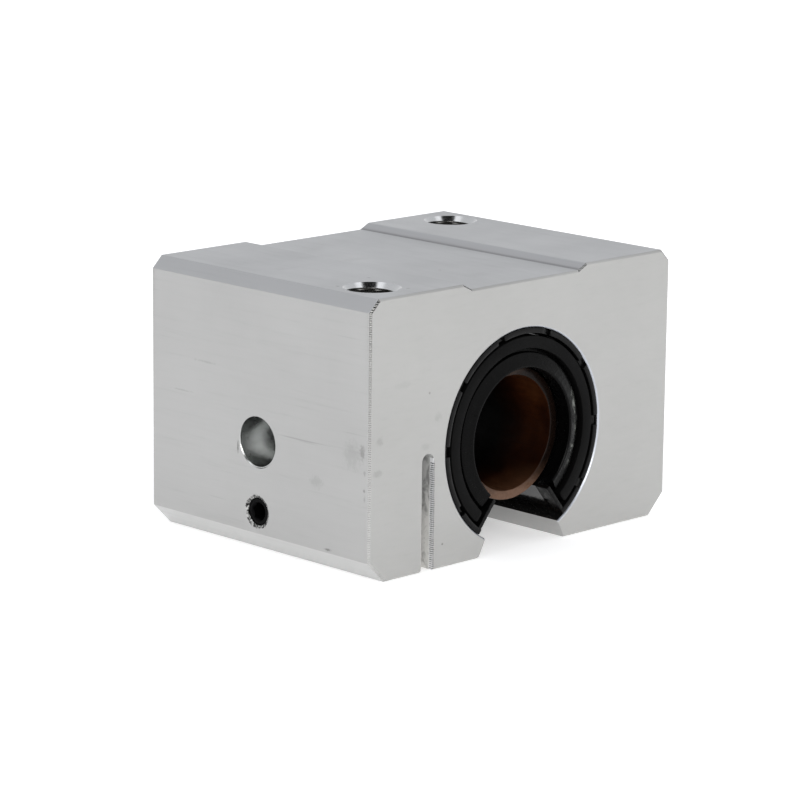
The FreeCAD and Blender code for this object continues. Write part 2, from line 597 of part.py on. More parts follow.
# ----------------------------------------------------------------------------
# end rings and wipers
# ----------------------------------------------------------------------------
rings, wipers = [], []
for side, sy in (("front", -1), ("rear", 1)):
    ring = open_ring("end_ring_blank_" + side, D["ring_inner_r"], D["ring_outer_r"], "dims.ring_inner_r", "dims.ring_outer_r",
                     "dims.ring_thick", "%d * (dims.block_length / 2 - dims.ring_setback - dims.ring_thick / 2)" % sy)
    room = D["end_wall_thick"] + D["ring_end_gap"]
    ends = fuse("ring_end_cut_" + side, [mouth_slab("ring_end_slab_%s_%d" % (side, sx + 1), sx, sy, room, "dims.end_wall_thick + dims.ring_end_gap") for sx in (-1, 1)])
    rings.append(cut("end_ring_" + side, ring, ends))
    blank = open_ring("wiper_blank_" + side, D["wiper_lip_r"], D["wiper_outer_r"], "dims.wiper_lip_r", "dims.wiper_outer_r",
                      "dims.wiper_thick", "%d * (dims.block_length / 2 - dims.wiper_setback - dims.wiper_thick / 2)" % sy)
    y_face = HALF_L - D["wiper_setback"]
    # the face rises as a shallow cone from the root to the crest of the lip
    inward = FreeCAD.Placement(V(0, sy * y_face, 0), ALONG_Y if sy < 0 else ALONG_MINUS_Y)
    face_cut = cylinder("wiper_face_cut_" + side, "dims.wiper_outer_r + 0.5", "dims.wiper_rise", inward)
    lip_cone = cone("wiper_lip_cone_" + side, "dims.wiper_crest_r", "dims.wiper_root_r", "dims.wiper_rise", inward)
    for tool in (face_cut, lip_cone):
        bind(tool, Placement__Base__y="%d * (dims.block_length / 2 - dims.wiper_setback)" % sy)
    wipers.append(cut("wiper_" + side, blank, fuse("wiper_cuts_" + side, [cut("wiper_relief_" + side, face_cut, lip_cone), ends])))

doc.recompute()

# ----------------------------------------------------------------------------
# write the sub-parts
# ----------------------------------------------------------------------------
nodes = [housing, adjusting_screw, locating_pin, outer_shell, ball_retainer]
nodes += rings + wipers + plates + ball_nodes

for obj in doc.Objects:
    state = [s for s in obj.State if s in ("Invalid", "Error")]
    if state:
        raise RuntimeError("%s is %s" % (obj.Name, state))

os.makedirs("parts", exist_ok=True)
for obj in nodes:
    shape = obj.Shape
    if shape.isNull() or not shape.isValid():
        raise RuntimeError(obj.Name + " has no valid shape")
    obj.Label = obj.Name
for obj in nodes:
    shape = obj.Shape
    shape.exportStep("parts/" + obj.Label + ".step")
    bb = shape.BoundBox
    print("%-18s solids %3d  volume %10.1f  x %7.2f %7.2f  y %7.2f %7.2f  z %7.2f %7.2f" % (
        obj.Label, len(shape.Solids), shape.Volume, bb.XMin, bb.XMax, bb.YMin, bb.YMax, bb.ZMin, bb.ZMax))
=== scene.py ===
import bpy
import bmesh
import math
import random
from mathutils import Matrix, Vector, noise


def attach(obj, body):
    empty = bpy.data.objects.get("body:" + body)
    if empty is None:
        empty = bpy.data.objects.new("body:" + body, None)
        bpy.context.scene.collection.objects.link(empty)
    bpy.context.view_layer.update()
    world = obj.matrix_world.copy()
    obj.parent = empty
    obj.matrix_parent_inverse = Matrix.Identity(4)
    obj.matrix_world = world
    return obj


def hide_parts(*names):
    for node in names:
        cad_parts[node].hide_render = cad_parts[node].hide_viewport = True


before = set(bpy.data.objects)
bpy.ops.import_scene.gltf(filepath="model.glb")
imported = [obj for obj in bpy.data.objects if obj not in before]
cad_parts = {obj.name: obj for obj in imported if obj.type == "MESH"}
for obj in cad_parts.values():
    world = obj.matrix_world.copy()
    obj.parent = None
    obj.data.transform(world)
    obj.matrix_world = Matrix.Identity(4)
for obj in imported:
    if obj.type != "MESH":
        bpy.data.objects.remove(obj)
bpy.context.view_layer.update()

MM = 0.001
SC = bpy.context.scene
COLL = SC.collection


# --------------------------------------------------------------------------
# camera: three-quarter view from the front left, slightly above
# --------------------------------------------------------------------------
def camera_matrix(az, el, roll, loc):
    a, e, r = math.radians(az), math.radians(el), math.radians(roll)
    back = Vector((math.sin(a) * math.cos(e), -math.cos(a) * math.cos(e), math.sin(e)))
    right0 = Vector((math.cos(a), math.sin(a), 0.0))
    up0 = back.cross(right0)
    right = right0 * math.cos(r) + up0 * math.sin(r)
    up = -right0 * math.sin(r) + up0 * math.cos(r)
    m = Matrix.Identity(4)
    for i in range(3):
        m[i][0], m[i][1], m[i][2], m[i][3] = right[i], up[i], back[i], loc[i]
    return m


cam_data = bpy.data.cameras.new("camera")
cam = bpy.data.objects.new("camera", cam_data)
COLL.objects.link(cam)
cam.matrix_world = camera_matrix(-44.635, 12.618, 0.613, (-0.459195, -0.461981, 0.147666))
cam_data.sensor_width = 36.0
cam_data.lens = 3565.646 / 800.0 * 36.0
cam_data.clip_start = 0.01
cam_data.clip_end = 20.0
SC.camera = cam

# --------------------------------------------------------------------------
# sizes, in millimetres, of the model in the frame
# --------------------------------------------------------------------------
HW, HL, TOP, BASE = 39.0, 29.0, 30.0, -21.0
TC, BC = 2.2, 4.0
PAD_X, REC_X, REC_D = 16.1, 13.9, 1.1
RB = 20.0
LIP_X, LIP_BX = 9.55, 11.4
SLIT_O, SLIT_I, SLIT_Z = 26.0, 23.1, 0.6
END_BREAK, BORE_BREAK = 0.38, 0.3


# --------------------------------------------------------------------------
# mesh helpers
# --------------------------------------------------------------------------
def make_object(name, verts, faces, scale=MM):
    me = bpy.data.meshes.new(name)
    me.from_pydata([(v[0] * scale, v[1] * scale, v[2] * scale) for v in verts], [], faces)
    me.validate()
    me.update()
    ob = bpy.data.objects.new(name, me)
    COLL.objects.link(ob)
    return ob


def clean(ob, dist=1e-7):
    bm = bmesh.new()
    bm.from_mesh(ob.data)
    bmesh.ops.remove_doubles(bm, verts=bm.verts, dist=dist)
    bmesh.ops.recalc_face_normals(bm, faces=bm.faces)
    bm.to_mesh(ob.data)
    bm.free()


def apply_modifiers(ob):
    deps = bpy.context.evaluated_depsgraph_get()
    deps.update()
    me = bpy.data.meshes.new_from_object(ob.evaluated_get(deps), preserve_all_data_layers=True, depsgraph=deps)
    old = ob.data
    ob.modifiers.clear()
    ob.data = me
    bpy.data.meshes.remove(old)
    me.name = ob.name


def add_bevel(ob, width_mm, segments=2, angle=30.0):
    m = ob.modifiers.new("bevel", "BEVEL")
    m.width = width_mm * MM
    m.segments = segments
    m.limit_method = "ANGLE"
    m.angle_limit = math.radians(angle)
    m.use_clamp_overlap = True
    m.harden_normals = False
    apply_modifiers(ob)


def boolean(ob, cutter, operation="DIFFERENCE"):
    m = ob.modifiers.new("bool", "BOOLEAN")
    m.operation = operation
    m.solver = "EXACT"
    m.object = cutter
    apply_modifiers(ob)
    bpy.data.objects.remove(cutter)


def smooth(ob, angle=30.0):
    me = ob.data
    me.polygons.foreach_set("use_smooth", [True] * len(me.polygons))
    me.set_sharp_from_angle(angle=math.radians(angle))
    me.update()


def revolve(name, profile, axis_point=(0, 0, 0), axis="Y", segs=96):
    """Closed turned solid: profile is a list of (radius, along), first and last on the axis."""
    verts, faces, rows = [], [], []
    for r, a in profile:
        if r < 1e-9:
            rows.append([len(verts)])
            verts.append(_axial(0, 0, a, axis, axis_point))
        else:
            row = []
            for i in range(segs):
                t = 2 * math.pi * i / segs
                row.append(len(verts))
                verts.append(_axial(r * math.cos(t), r * math.sin(t), a, axis, axis_point))
            rows.append(row)
    for ra, rb in zip(rows, rows[1:]):
        for i in range(segs):
            j = (i + 1) % segs
            if len(ra) == 1 and len(rb) == 1:
                continue
            if len(ra) == 1:
                faces.append((ra[0], rb[i], rb[j]))
            elif len(rb) == 1:
                faces.append((ra[i], rb[0], ra[j]))
            else:
                faces.append((ra[i], rb[i], rb[j], ra[j]))
    ob = make_object(name, verts, faces)
    clean(ob)
    return ob


def _axial(u, v, a, axis, p):
    if axis == "Y":
        return (p[0] + u, p[1] + a, p[2] + v)
    if axis == "X":
        return (p[0] + a, p[1] + u, p[2] + v)
    return (p[0] + u, p[1] + v, p[2] + a)


def thread_solid(name, root, crest, pitch, a0, a1, axis, point, hand=1, segs=56, per_pitch=10, taper=0.0, flat=0.14):
    """Closed helical rod about an axis, from a0 to a1 along it. taper runs the thread out at both ends."""
    n = max(4, int(round((a1 - a0) / pitch * per_pitch)))
    verts, faces = [], []
    for k in range(n + 1):
        a = a0 + (a1 - a0) * k / n
        fade = 1.0
        if taper > 0:
            fade = max(0.0, min(1.0, (a - a0) / taper, (a1 - a) / taper))
        for i in range(segs):
            t = 2 * math.pi * i / segs
            ph = (a / pitch - hand * i / segs) % 1.0
            w = abs(2 * ph - 1)  # 0 at the middle, 1 at the ends
            w = min(1.0, max(0.0, (w - flat) / (1 - 2 * flat)))
            r = root + (crest - root) * w * fade
            verts.append(_axial(r * math.cos(t), r * math.sin(t), a, axis, point))
    for k in range(n):
        for i in range(segs):
            j = (i + 1) % segs
            faces.append((k * segs + i, k * segs + j, (k + 1) * segs + j, (k + 1) * segs + i))
    for k, flip in ((0, True), (n, False)):
        c = len(verts)
        a = a0 if k == 0 else a1
        verts.append(_axial(0, 0, a, axis, point))
        for i in range(segs):
            j = (i + 1) % segs
            f = (c, k * segs + i, k * segs + j)
            faces.append(f[::-1] if flip else f)
    ob = make_object(name, verts, faces)
    clean(ob)
    return ob


# mouth faces of the bushing: straight lines through these two points (and mirrored)
M_IN = (6.47, -10.70)
M_OUT = (11.19, -16.58)


def mouth_angle(r):
    dx, dz = M_OUT[0] - M_IN[0], M_OUT[1] - M_IN[1]
    a = dx * dx + dz * dz
    b = 2 * (M_IN[0] * dx + M_IN[1] * dz)
    c = M_IN[0] ** 2 + M_IN[1] ** 2 - r * r
    t = (-b + math.sqrt(b * b - 4 * a * c)) / (2 * a)
    return math.atan2(M_IN[1] + t * dz, M_IN[0] + t * dx)


def open_ring(name, profile, sy=1.0, steps=180, end_pull=0.0, end_round=0.0):
    """C-shaped ring about the shaft axis from a closed (radius, y) profile.
    end_pull keeps its ends back from the mouth faces, end_round rounds their corners."""
    verts, faces = [], []
    n = len(profile)
    r_lo, r_hi = min(p[0] for p in profile), max(p[0] for p in profile)
    rm, half = (r_lo + r_hi) / 2, (r_hi - r_lo) / 2
    extra = [0.0, 0.08, 0.25, 0.5, 0.75, 1.0] if end_round > 0 else [0.0]
    # arc lengths from the end, at mid radius, for the first few stations
    heads = [end_round * e for e in extra]
    a_mid = mouth_angle(rm)
    span = (math.pi - 2 * a_mid) * rm - 2 * end_pull
    ss = [h / span for h in heads] + [heads[-1] / span + (1 - 2 * heads[-1] / span) * k / steps for k in range(1, steps)]
    ss += [1 - h / span for h in reversed(heads)]
    for s in ss:
        d = min(s, 1 - s) * span
        squeeze = 1.0
        if end_round > 0 and d < end_round:
            q = 1 - d / end_round
            squeeze = 1 - (end_round / half) * (1 - math.sqrt(max(0.0, 1 - q * q)))
        for r, y in profile:
            a0 = mouth_angle(r) + end_pull / r
            a1 = math.pi - a0
            t = a0 + (a1 - a0) * s
            rr = rm + (r - rm) * squeeze
            verts.append((rr * math.cos(t), sy * y, rr * math.sin(t)))
    steps = len(ss) - 1
    for k in range(steps):
        for i in range(n):
            j = (i + 1) % n
            faces.append((k * n + i, k * n + j, (k + 1) * n + j, (k + 1) * n + i))
    faces.append(tuple(range(n)))
    faces.append(tuple(steps * n + i for i in reversed(range(n))))
    ob = make_object(name, verts, faces)
    clean(ob)
    return ob


def round_profile(points, radii, segs=3):
    """Rounds the corners of a closed polygon: radii is one number or one per corner."""
    n = len(points)
    if not isinstance(radii, (list, tuple)):
        radii = [radii] * n
    out = []
    for i in range(n):
        p, a, b = Vector(points[i]), Vector(points[i - 1]), Vector(points[(i + 1) % n])
        rad = radii[i]
        if rad <= 0:
            out.append(tuple(p))
            continue
        u, v = (a - p), (b - p)
        lu, lv = u.length, v.length
        u.normalize()
        v.normalize()
        half = math.acos(max(-1, min(1, u.dot(v)))) / 2
        d = min(rad / math.tan(half), 0.45 * lu, 0.45 * lv)
        rad = d * math.tan(half)
        c = p + (u + v).normalized() * (rad / math.sin(half))
        s, e = p + u * d - c, p + v * d - c
        a0, a1 = math.atan2(s.y, s.x), math.atan2(e.y, e.x)
        da = (a1 - a0 + math.pi) % (2 * math.pi) - math.pi
        for k in range(segs + 1):
            t = a0 + da * k / segs
            out.append((c.x + rad * math.cos(t), c.y + rad * math.sin(t)))
    return out


# --------------------------------------------------------------------------
# materials
# --------------------------------------------------------------------------
class Mat:
    def __init__(self, name, slot=None):
        self.m = bpy.data.materials.new(name)
        self.m.use_nodes = True
        self.t = self.m.node_tree
        self.t.nodes.clear()
        self.out = self.t.nodes.new("ShaderNodeOutputMaterial")
        self.b = self.t.nodes.new("ShaderNodeBsdfPrincipled")
        self.t.links.new(self.b.outputs[0], self.out.inputs[0])
        self.coord = None

    def set(self, **kw):
        for k, v in kw.items():
            self.b.inputs[k.replace("_", " ")].default_value = v
        return self

    def node(self, kind, **kw):
        n = self.t.nodes.new(kind)
        for k, v in kw.items():
            setattr(n, k, v)
        return n

    def link(self, a, b):
        self.t.links.new(a, b)

    def obj(self, scale=(1, 1, 1), rot=(0, 0, 0)):
        if self.coord is None:
            self.coord = self.node("ShaderNodeTexCoord")
        mp = self.node("ShaderNodeMapping")
        mp.inputs["Scale"].default_value = scale
        mp.inputs["Rotation"].default_value = rot
        self.link(self.coord.outputs["Object"], mp.inputs["Vector"])
        return mp.outputs[0]

    def axis(self, which):
        """One object coordinate, in metres: 0 is X, 1 is Y, 2 is Z."""
        if self.coord is None:
            self.coord = self.node("ShaderNodeTexCoord")
        n = self.node("ShaderNodeSeparateXYZ")
        self.link(self.coord.outputs["Object"], n.inputs[0])
        return n.outputs[which]

    def span(self, sock, lo_mm, hi_mm):
        """0 at lo_mm, 1 at hi_mm, clamped outside."""
        n = self.node("ShaderNodeMapRange")
        n.clamp = True
        n.inputs["From Min"].default_value = lo_mm * MM
        n.inputs["From Max"].default_value = hi_mm * MM
        self.link(sock, n.inputs["Value"])
        return n.outputs[0]

    def noise(self, vec, scale, detail=4.0, rough=0.55, distortion=0.0):
        n = self.node("ShaderNodeTexNoise")
        n.inputs["Scale"].default_value = scale
        n.inputs["Detail"].default_value = detail
        n.inputs["Roughness"].default_value = rough
        n.inputs["Distortion"].default_value = distortion
        self.link(vec, n.inputs["Vector"])
        return n.outputs["Fac"]

    def wave(self, vec, scale, direction="Z", distortion=0.0, detail=2.0, dscale=1.0, kind="BANDS", profile="SIN"):
        n = self.node("ShaderNodeTexWave")
        n.wave_type = kind
        n.wave_profile = profile
        if kind == "BANDS":
            n.bands_direction = direction
        else:
            n.rings_direction = direction
        n.inputs["Scale"].default_value = scale
        n.inputs["Distortion"].default_value = distortion
        n.inputs["Detail"].default_value = detail
        n.inputs["Detail Scale"].default_value = dscale
        self.link(vec, n.inputs["Vector"])
        return n.outputs["Fac"]

    def ramp(self, fac, stops):
        n = self.node("ShaderNodeValToRGB")
        cr = n.color_ramp
        while len(cr.elements) > 1:
            cr.elements.remove(cr.elements[-1])
        first = True
        for pos, col in stops:
            if not isinstance(col, (tuple, list)):
                col = (col, col, col, 1)
            if len(col) == 3:
                col = tuple(col) + (1,)
            if first:
                cr.elements[0].position = pos
                cr.elements[0].color = col
                first = False
            else:
                e = cr.elements.new(pos)
                e.color = col
        self.link(fac, n.inputs[0])
        return n.outputs[0]

    def math(self, op, a, b=None, clamp=False):
        n = self.node("ShaderNodeMath", operation=op)
        n.use_clamp = clamp
        for i, x in enumerate((a, b)):
            if x is None:
                continue
            if isinstance(x, (int, float)):
                n.inputs[i].default_value = x
            else:
                self.link(x, n.inputs[i])
        return n.outputs[0]

    def mix(self, fac, a, b, blend="MIX"):
        n = self.node("ShaderNodeMix", data_type="RGBA", blend_type=blend)
        for sock, x in ((n.inputs[0], fac), (n.inputs[6], a), (n.inputs[7], b)):
            if isinstance(x, (int, float)):
                sock.default_value = x if sock.type == "VALUE" else (x, x, x, 1)
            elif isinstance(x, (tuple, list)):
                sock.default_value = tuple(x) + ((1,) if len(x) == 3 else ())
            else:
                self.link(x, sock)
        return n.outputs[2]

    def bump(self, height, strength=0.2, distance=0.0001, normal=None):
        n = self.node("ShaderNodeBump")
        n.inputs["Strength"].default_value = strength
        n.inputs["Distance"].default_value = distance
        self.link(height, n.inputs["Height"])
        if normal is not None:
            self.link(normal, n.inputs["Normal"])
        return n.outputs[0]

    def color(self, sock):
        self.link(sock, self.b.inputs["Base Color"])
        return self

    def rough(self, sock):
        self.link(sock, self.b.inputs["Roughness"])
        return self

    def normal(self, sock):
        self.link(sock, self.b.inputs["Normal"])
        return self


def aluminium(name, tint, lay, lay_scale, rough=(0.36, 0.50), blotch=0.06, scratch=0.35, bump=0.12, smudges=(), metallic=1.0, streak=0.0):
    """Machined aluminium. lay is the stretch of the tool marks: small along them, large across.
    smudges are (x, y, z, radius, stretch_y, stretch_z, darkness) in millimetres."""
    m = Mat(name).set(Metallic=metallic)
    marks = m.noise(m.obj(scale=lay), lay_scale, detail=6, rough=0.65)
    fine = m.noise(m.obj(scale=tuple(c * 3.1 for c in lay)), lay_scale, detail=3, rough=0.7)
    cloud = m.noise(m.obj(scale=(1, 1, 1)), 38.0, detail=5, rough=0.6, distortion=0.4)
    smear = m.noise(m.obj(scale=(1.0, 0.55, 1.3)), 95.0, detail=7, rough=0.7, distortion=1.1)
    base = m.ramp(cloud, [(0.30, tuple(c * (1 - blotch) for c in tint)), (0.72, tuple(min(1, c * (1 + blotch * 0.5)) for c in tint))])
    dirt = m.ramp(smear, [(0.60, (1, 1, 1)), (0.80, (1 - blotch * 1.2,) * 3)])
    col = m.mix(1.0, base, dirt, "MULTIPLY")
    line = m.ramp(marks, [(0.30, (1 - scratch * 0.16,) * 3), (0.40, (1, 1, 1)), (0.63, (1, 1, 1)), (0.74, (1 + scratch * 0.03,) * 3)])
    col = m.mix(1.0, col, line, "MULTIPLY")
    if streak > 0:
        # a few long fine scratches along the length of the block
        long_ = m.noise(m.obj(scale=(1.0, 0.022, 1.0)), 1100.0, detail=2, rough=0.5)
        where = m.noise(m.obj(scale=(1.0, 0.6, 1.0)), 60.0, detail=2, rough=0.5)
        cut = m.math("MULTIPLY", m.ramp(long_, [(0.665, 0.0), (0.70, 1.0)]), m.ramp(where, [(0.50, 0.0), (0.62, 1.0)]))
        col = m.mix(m.math("MULTIPLY", cut, streak), col, (tint[0] * 0.62, tint[1] * 0.62, tint[2] * 0.62))
    if smudges:
        ragged = m.noise(m.obj(scale=(1.0, 1.0, 0.8)), 1500.0, detail=5, rough=0.75)
        for sx, sy, sz, rad, ky, kz, dark in smudges:
            mp = m.node("ShaderNodeMapping")
            mp.inputs["Location"].default_value = (-sx * MM / (rad * MM), -sy * MM / (rad * MM * ky), -sz * MM / (rad * MM * kz))
            mp.inputs["Scale"].default_value = (1 / (rad * MM), 1 / (rad * MM * ky), 1 / (rad * MM * kz))
            m.link(m.coord.outputs["Object"], mp.inputs["Vector"])
            ln = m.node("ShaderNodeVectorMath", operation="LENGTH")
            m.link(mp.outputs[0], ln.inputs[0])
            edge = m.math("ADD", ln.outputs["Value"], m.math("MULTIPLY", m.math("SUBTRACT", ragged, 0.5), 2.6))
            mask = m.ramp(edge, [(0.35, 1.0), (1.0, 0.0)])
            col = m.mix(m.math("MULTIPLY", mask, dark), col, (tint[0] * 0.22, tint[1] * 0.22, tint[2] * 0.20))
    m.color(col)
    r = m.ramp(m.math("ADD", m.math("MULTIPLY", marks, 0.6), m.math("MULTIPLY", cloud, 0.4)), [(0.3, rough[1]), (0.7, rough[0])])
    m.rough(r)
    n1 = m.bump(marks, bump, 0.00006)
    m.normal(m.bump(fine, bump * 0.6, 0.00003, n1))
    return m.m


SIDE_SMUDGES = ((-39, -27.3, 2.7, 1.0, 0.8, 1.5, 0.34), (-39, -27.7, -4.0, 0.34, 1.0, 1.1, 0.45), (-39, -27.75, -0.9, 0.42, 0.9, 1.4, 0.25),
                (-39, -27.8, -5.6, 0.42, 0.6, 1.8, 0.25), (-39, -15.5, -4.6, 1.6, 1.3, 0.8, 0.16), (-39, -24.6, 2.0, 2.6, 1.0, 1.2, 0.13),
                (-39, 20.5, 6.2, 1.3, 2.2, 0.18, 0.20), (-39, 14.0, 12.5, 1.8, 1.8, 0.14, 0.16),
                (-39, -18.6, -16.4, 0.55, 1.6, 0.6, 0.6), (-39, 5.2, -1.8, 0.5, 0.55, 2.6, 0.65), (-39, 3.2, -17.2, 1.0, 1.3, 0.35, 0.30))
END_SMUDGES = ((-36.6, -29, 4.6, 1.1, 1.0, 0.9, 0.16), (-37.0, -29, -1.0, 1.5, 1.0, 0.55, 0.17), (-20.7, -29, -16.6, 0.26, 1.0, 1.0, 0.55),
               (-24.4, -29, 11.6, 0.30, 1.0, 1.0, 0.40), (-22.0, -29, 6.9, 1.2, 1.0, 0.9, 0.13), (-25.4, -29, 2.0, 1.3, 1.0, 0.7, 0.10),
               (-30.5, -29, 14.0, 2.4, 1.0, 0.35, 0.07))
TOP_SMUDGES = ((-24.0, -13.0, 30, 0.35, 1.6, 1.0, 0.40), (-33.8, -15.2, 30, 0.40, 1.2, 1.0, 0.55), (-25.9, -24.9, 30, 0.45, 1.0, 1.0, 0.40),
               (-5.0, -12.0, 28.9, 0.35, 1.4, 1.0, 0.40), (-9.0, 6.0, 28.9, 3.2, 0.5, 1.0, 0.07), (-3.0, -20.0, 28.9, 3.5, 0.6, 1.0, 0.06))

MAT_END = aluminium("aluminium_end", (0.452, 0.450, 0.440), (0.30, 1.0, 1.3), 800.0, rough=(0.44, 0.54), blotch=0.020, scratch=0.10, bump=0.04, smudges=END_SMUDGES)
MAT_SIDE = aluminium("aluminium_side", (0.450, 0.448, 0.443), (1.0, 0.045, 1.0), 1300.0, rough=(0.40, 0.52), blotch=0.025, scratch=0.22, bump=0.06, smudges=SIDE_SMUDGES, streak=0.5)
MAT_TOP = aluminium("aluminium_top", (0.508, 0.512, 0.519), (0.8, 0.10, 1.0), 600.0, rough=(0.38, 0.52), blotch=0.085, scratch=0.20, bump=0.08, smudges=TOP_SMUDGES, streak=0.30)
MAT_CHAMFER = aluminium("aluminium_chamfer", (0.500, 0.503, 0.510), (1.0, 0.03, 1.0), 1500.0, rough=(0.34, 0.46), blotch=0.03, scratch=0.25, bump=0.06)
# painted shade: the walls of the holes get about half the tint of the block's faces, darkening them
MAT_HOLE_PAINTED_SHADE = aluminium("aluminium_hole_painted_shade", (0.24, 0.235, 0.225), (0.25, 1.6, 1.6), 1300.0, rough=(0.20, 0.36), blotch=0.10, scratch=0.6, bump=0.25)
# painted highlight: the port's wall gets a lighter tint than the block's faces, brightening the reflection seen in it
MAT_PORT_PAINTED_HIGHLIGHT = aluminium("aluminium_port_painted_highlight", (0.63, 0.64, 0.63), (0.9, 0.8, 1.0), 820.0, rough=(0.12, 0.34), blotch=0.30, scratch=1.8, bump=1.0)
MAT_SINK = aluminium("aluminium_sink", (0.62, 0.625, 0.63), (1.5, 1.5, 0.5), 1500.0, rough=(0.10, 0.20), blotch=0.06, scratch=0.5, bump=0.10)
MAT_BORE = aluminium("aluminium_bore", (0.56, 0.555, 0.54), (1.0, 2.0, 1.0), 1600.0, rough=(0.14, 0.28), blotch=0.04, scratch=0.4, bump=0.12)
MAT_TEETH = aluminium("aluminium_slit_edge", (0.86, 0.86, 0.87), (1.0, 0.5, 1.0), 900.0, rough=(0.30, 0.45), blotch=0.03, scratch=0.2, bump=0.1, metallic=0.15)
# painted shade: the faces inside the slit-edge notches get this dark copy of the pale slit-edge aluminium above
MAT_NOTCH_PAINTED_SHADE = aluminium("aluminium_slit_notch_painted_shade", (0.30, 0.30, 0.31), (1.0, 0.5, 1.0), 900.0, rough=(0.30, 0.45), blotch=0.05, scratch=0.3, bump=0.1, metallic=0.3)
# painted light: the base chamfers get a lighter tint than the other chamfers, lifting the shade they sit in by the
# floor
MAT_BASECH_PAINTED_LIGHT = aluminium("aluminium_base_chamfer_painted_light", (0.55, 0.55, 0.545), (1.0, 0.03, 1.0), 1500.0, rough=(0.36, 0.48), blotch=0.03, scratch=0.22, bump=0.05)
# painted highlight: the bore's broken edge gets a blue tint for the blue-white highlight along it
MAT_BOREDGE_PAINTED_HIGHLIGHT = aluminium("aluminium_bore_edge_painted_highlight", (0.50, 0.52, 0.56), (1.0, 1.0, 1.0), 1500.0, rough=(0.30, 0.40), blotch=0.05, scratch=0.4, bump=0.10)


def burr_material():
    """Torn first turn of thread: dark gaps of painted shade and bright crests close together."""
    m = Mat("aluminium_burr").set(Metallic=1.0)
    tear = m.noise(m.obj(), 1500.0, detail=5, rough=0.7, distortion=0.8)
    # painted shade: near-black gaps between the crests
    m.color(m.ramp(tear, [(0.42, (0.012, 0.012, 0.012)), (0.50, (0.16, 0.16, 0.155)), (0.58, (0.50, 0.50, 0.49))]))
    m.rough(m.ramp(tear, [(0.4, 0.45), (0.6, 0.22)]))
    m.normal(m.bump(tear, 0.9, 0.00015))
    return m.m


MAT_BURR = burr_material()


def slit_material():
    """Sawn wall of the slit: pale rough metal, speckled, and darker upwards and towards the rear end with painted
    shade.
    """
    m = Mat("aluminium_slit").set(Metallic=0.0, Roughness=0.75, Specular_IOR_Level=0.3)
    grain = m.noise(m.obj(scale=(1.0, 0.8, 1.1)), 1500.0, detail=6, rough=0.7)
    patch = m.noise(m.obj(scale=(1.0, 1.5, 0.8)), 420.0, detail=6, rough=0.68, distortion=0.9)
    slope = m.math("ADD", m.axis(2), m.math("MULTIPLY", m.axis(1), 1.3))
    high = m.span(slope, -47.5, -40.0)
    # painted shade: the pale colour darkens upwards and towards the rear end
    base = m.mix(m.ramp(high, [(0.0, 0.0), (1.0, 1.0)]), (0.70, 0.693, 0.67), (0.52, 0.52, 0.51))
    spot = m.ramp(m.math("ADD", patch, m.math("MULTIPLY", high, 0.05)), [(0.46, (1, 1, 1)), (0.56, (0.80, 0.80, 0.80)), (0.64, (0.52, 0.52, 0.52))])
    col = m.mix(1.0, base, spot, "MULTIPLY")
    col = m.mix(1.0, col, m.ramp(grain, [(0.30, (0.74, 0.74, 0.74)), (0.42, (1, 1, 1))]), "MULTIPLY")
    m.color(col)
    m.normal(m.bump(patch, 0.5, 0.00015, m.bump(grain, 0.3, 0.00006)))
    return m.m


MAT_SLIT = slit_material()


def edge_break_material():
    """Broken edge of the end faces: coarse tool ticks near the top, fading out downwards, and painted shade darkening
    it towards the top.
    """
    m = Mat("aluminium_edge_break").set(Metallic=1.0)
    ticks = m.wave(m.obj(), 785.0, "Z", distortion=1.2, detail=1.0, dscale=3.0)
    cloud = m.noise(m.obj(), 420.0, detail=5, rough=0.6)
    up = m.span(m.axis(2), -10.0, 24.0)
    # painted shade: the colour darkens from the foot of the edge towards the top
    base = m.ramp(up, [(0.0, (0.44, 0.438, 0.428)), (0.45, (0.385, 0.383, 0.375)), (0.85, (0.31, 0.31, 0.302)), (1.0, (0.25, 0.25, 0.243))])
    cut = m.ramp(ticks, [(0.15, (0.72, 0.72, 0.72)), (0.55, (1.03, 1.03, 1.03))])
    col = m.mix(m.ramp(up, [(0.15, 0.0), (0.55, 0.75), (1.0, 1.0)]), base, m.mix(1.0, base, cut, "MULTIPLY"))
    col = m.mix(1.0, col, m.ramp(cloud, [(0.3, (0.90, 0.90, 0.90)), (0.65, (1.04, 1.04, 1.04))]), "MULTIPLY")
    m.color(col)
    m.rough(m.ramp(cloud, [(0.3, 0.30), (0.7, 0.18)]))
    m.normal(m.bump(ticks, 0.35, 0.00008, m.bump(cloud, 0.2, 0.00006)))
    return m.m


MAT_BREAK = edge_break_material()


def step_material():
    """Sloping side of the recess in the top face, with painted shade darkening it along its foot."""
    m = Mat("aluminium_step").set(Metallic=1.0)
    marks = m.noise(m.obj(scale=(1.0, 0.03, 1.0)), 1500.0, detail=5, rough=0.6)
    ax = m.math("ABSOLUTE", m.axis(0))
    up = m.span(ax, 13.8, 16.2)
    wav = m.math("ADD", up, m.math("MULTIPLY", m.math("SUBTRACT", m.noise(m.obj(scale=(1.0, 0.25, 1.0)), 300.0, detail=3), 0.5), 0.10))
    # painted shade: darkest along the foot of the slope, lighter towards its upper edge
    col = m.ramp(wav, [(0.0, (0.27, 0.27, 0.275)), (0.16, (0.30, 0.30, 0.305)), (0.32, (0.44, 0.44, 0.45)), (0.85, (0.46, 0.465, 0.475)), (1.0, (0.54, 0.545, 0.55))])
    m.color(m.mix(1.0, col, m.ramp(marks, [(0.32, (0.94, 0.94, 0.94)), (0.45, (1, 1, 1))]), "MULTIPLY"))
    m.rough(m.ramp(marks, [(0.3, 0.44), (0.7, 0.32)]))
    m.normal(m.bump(marks, 0.06, 0.00005))
    return m.m


MAT_STEP = step_material()


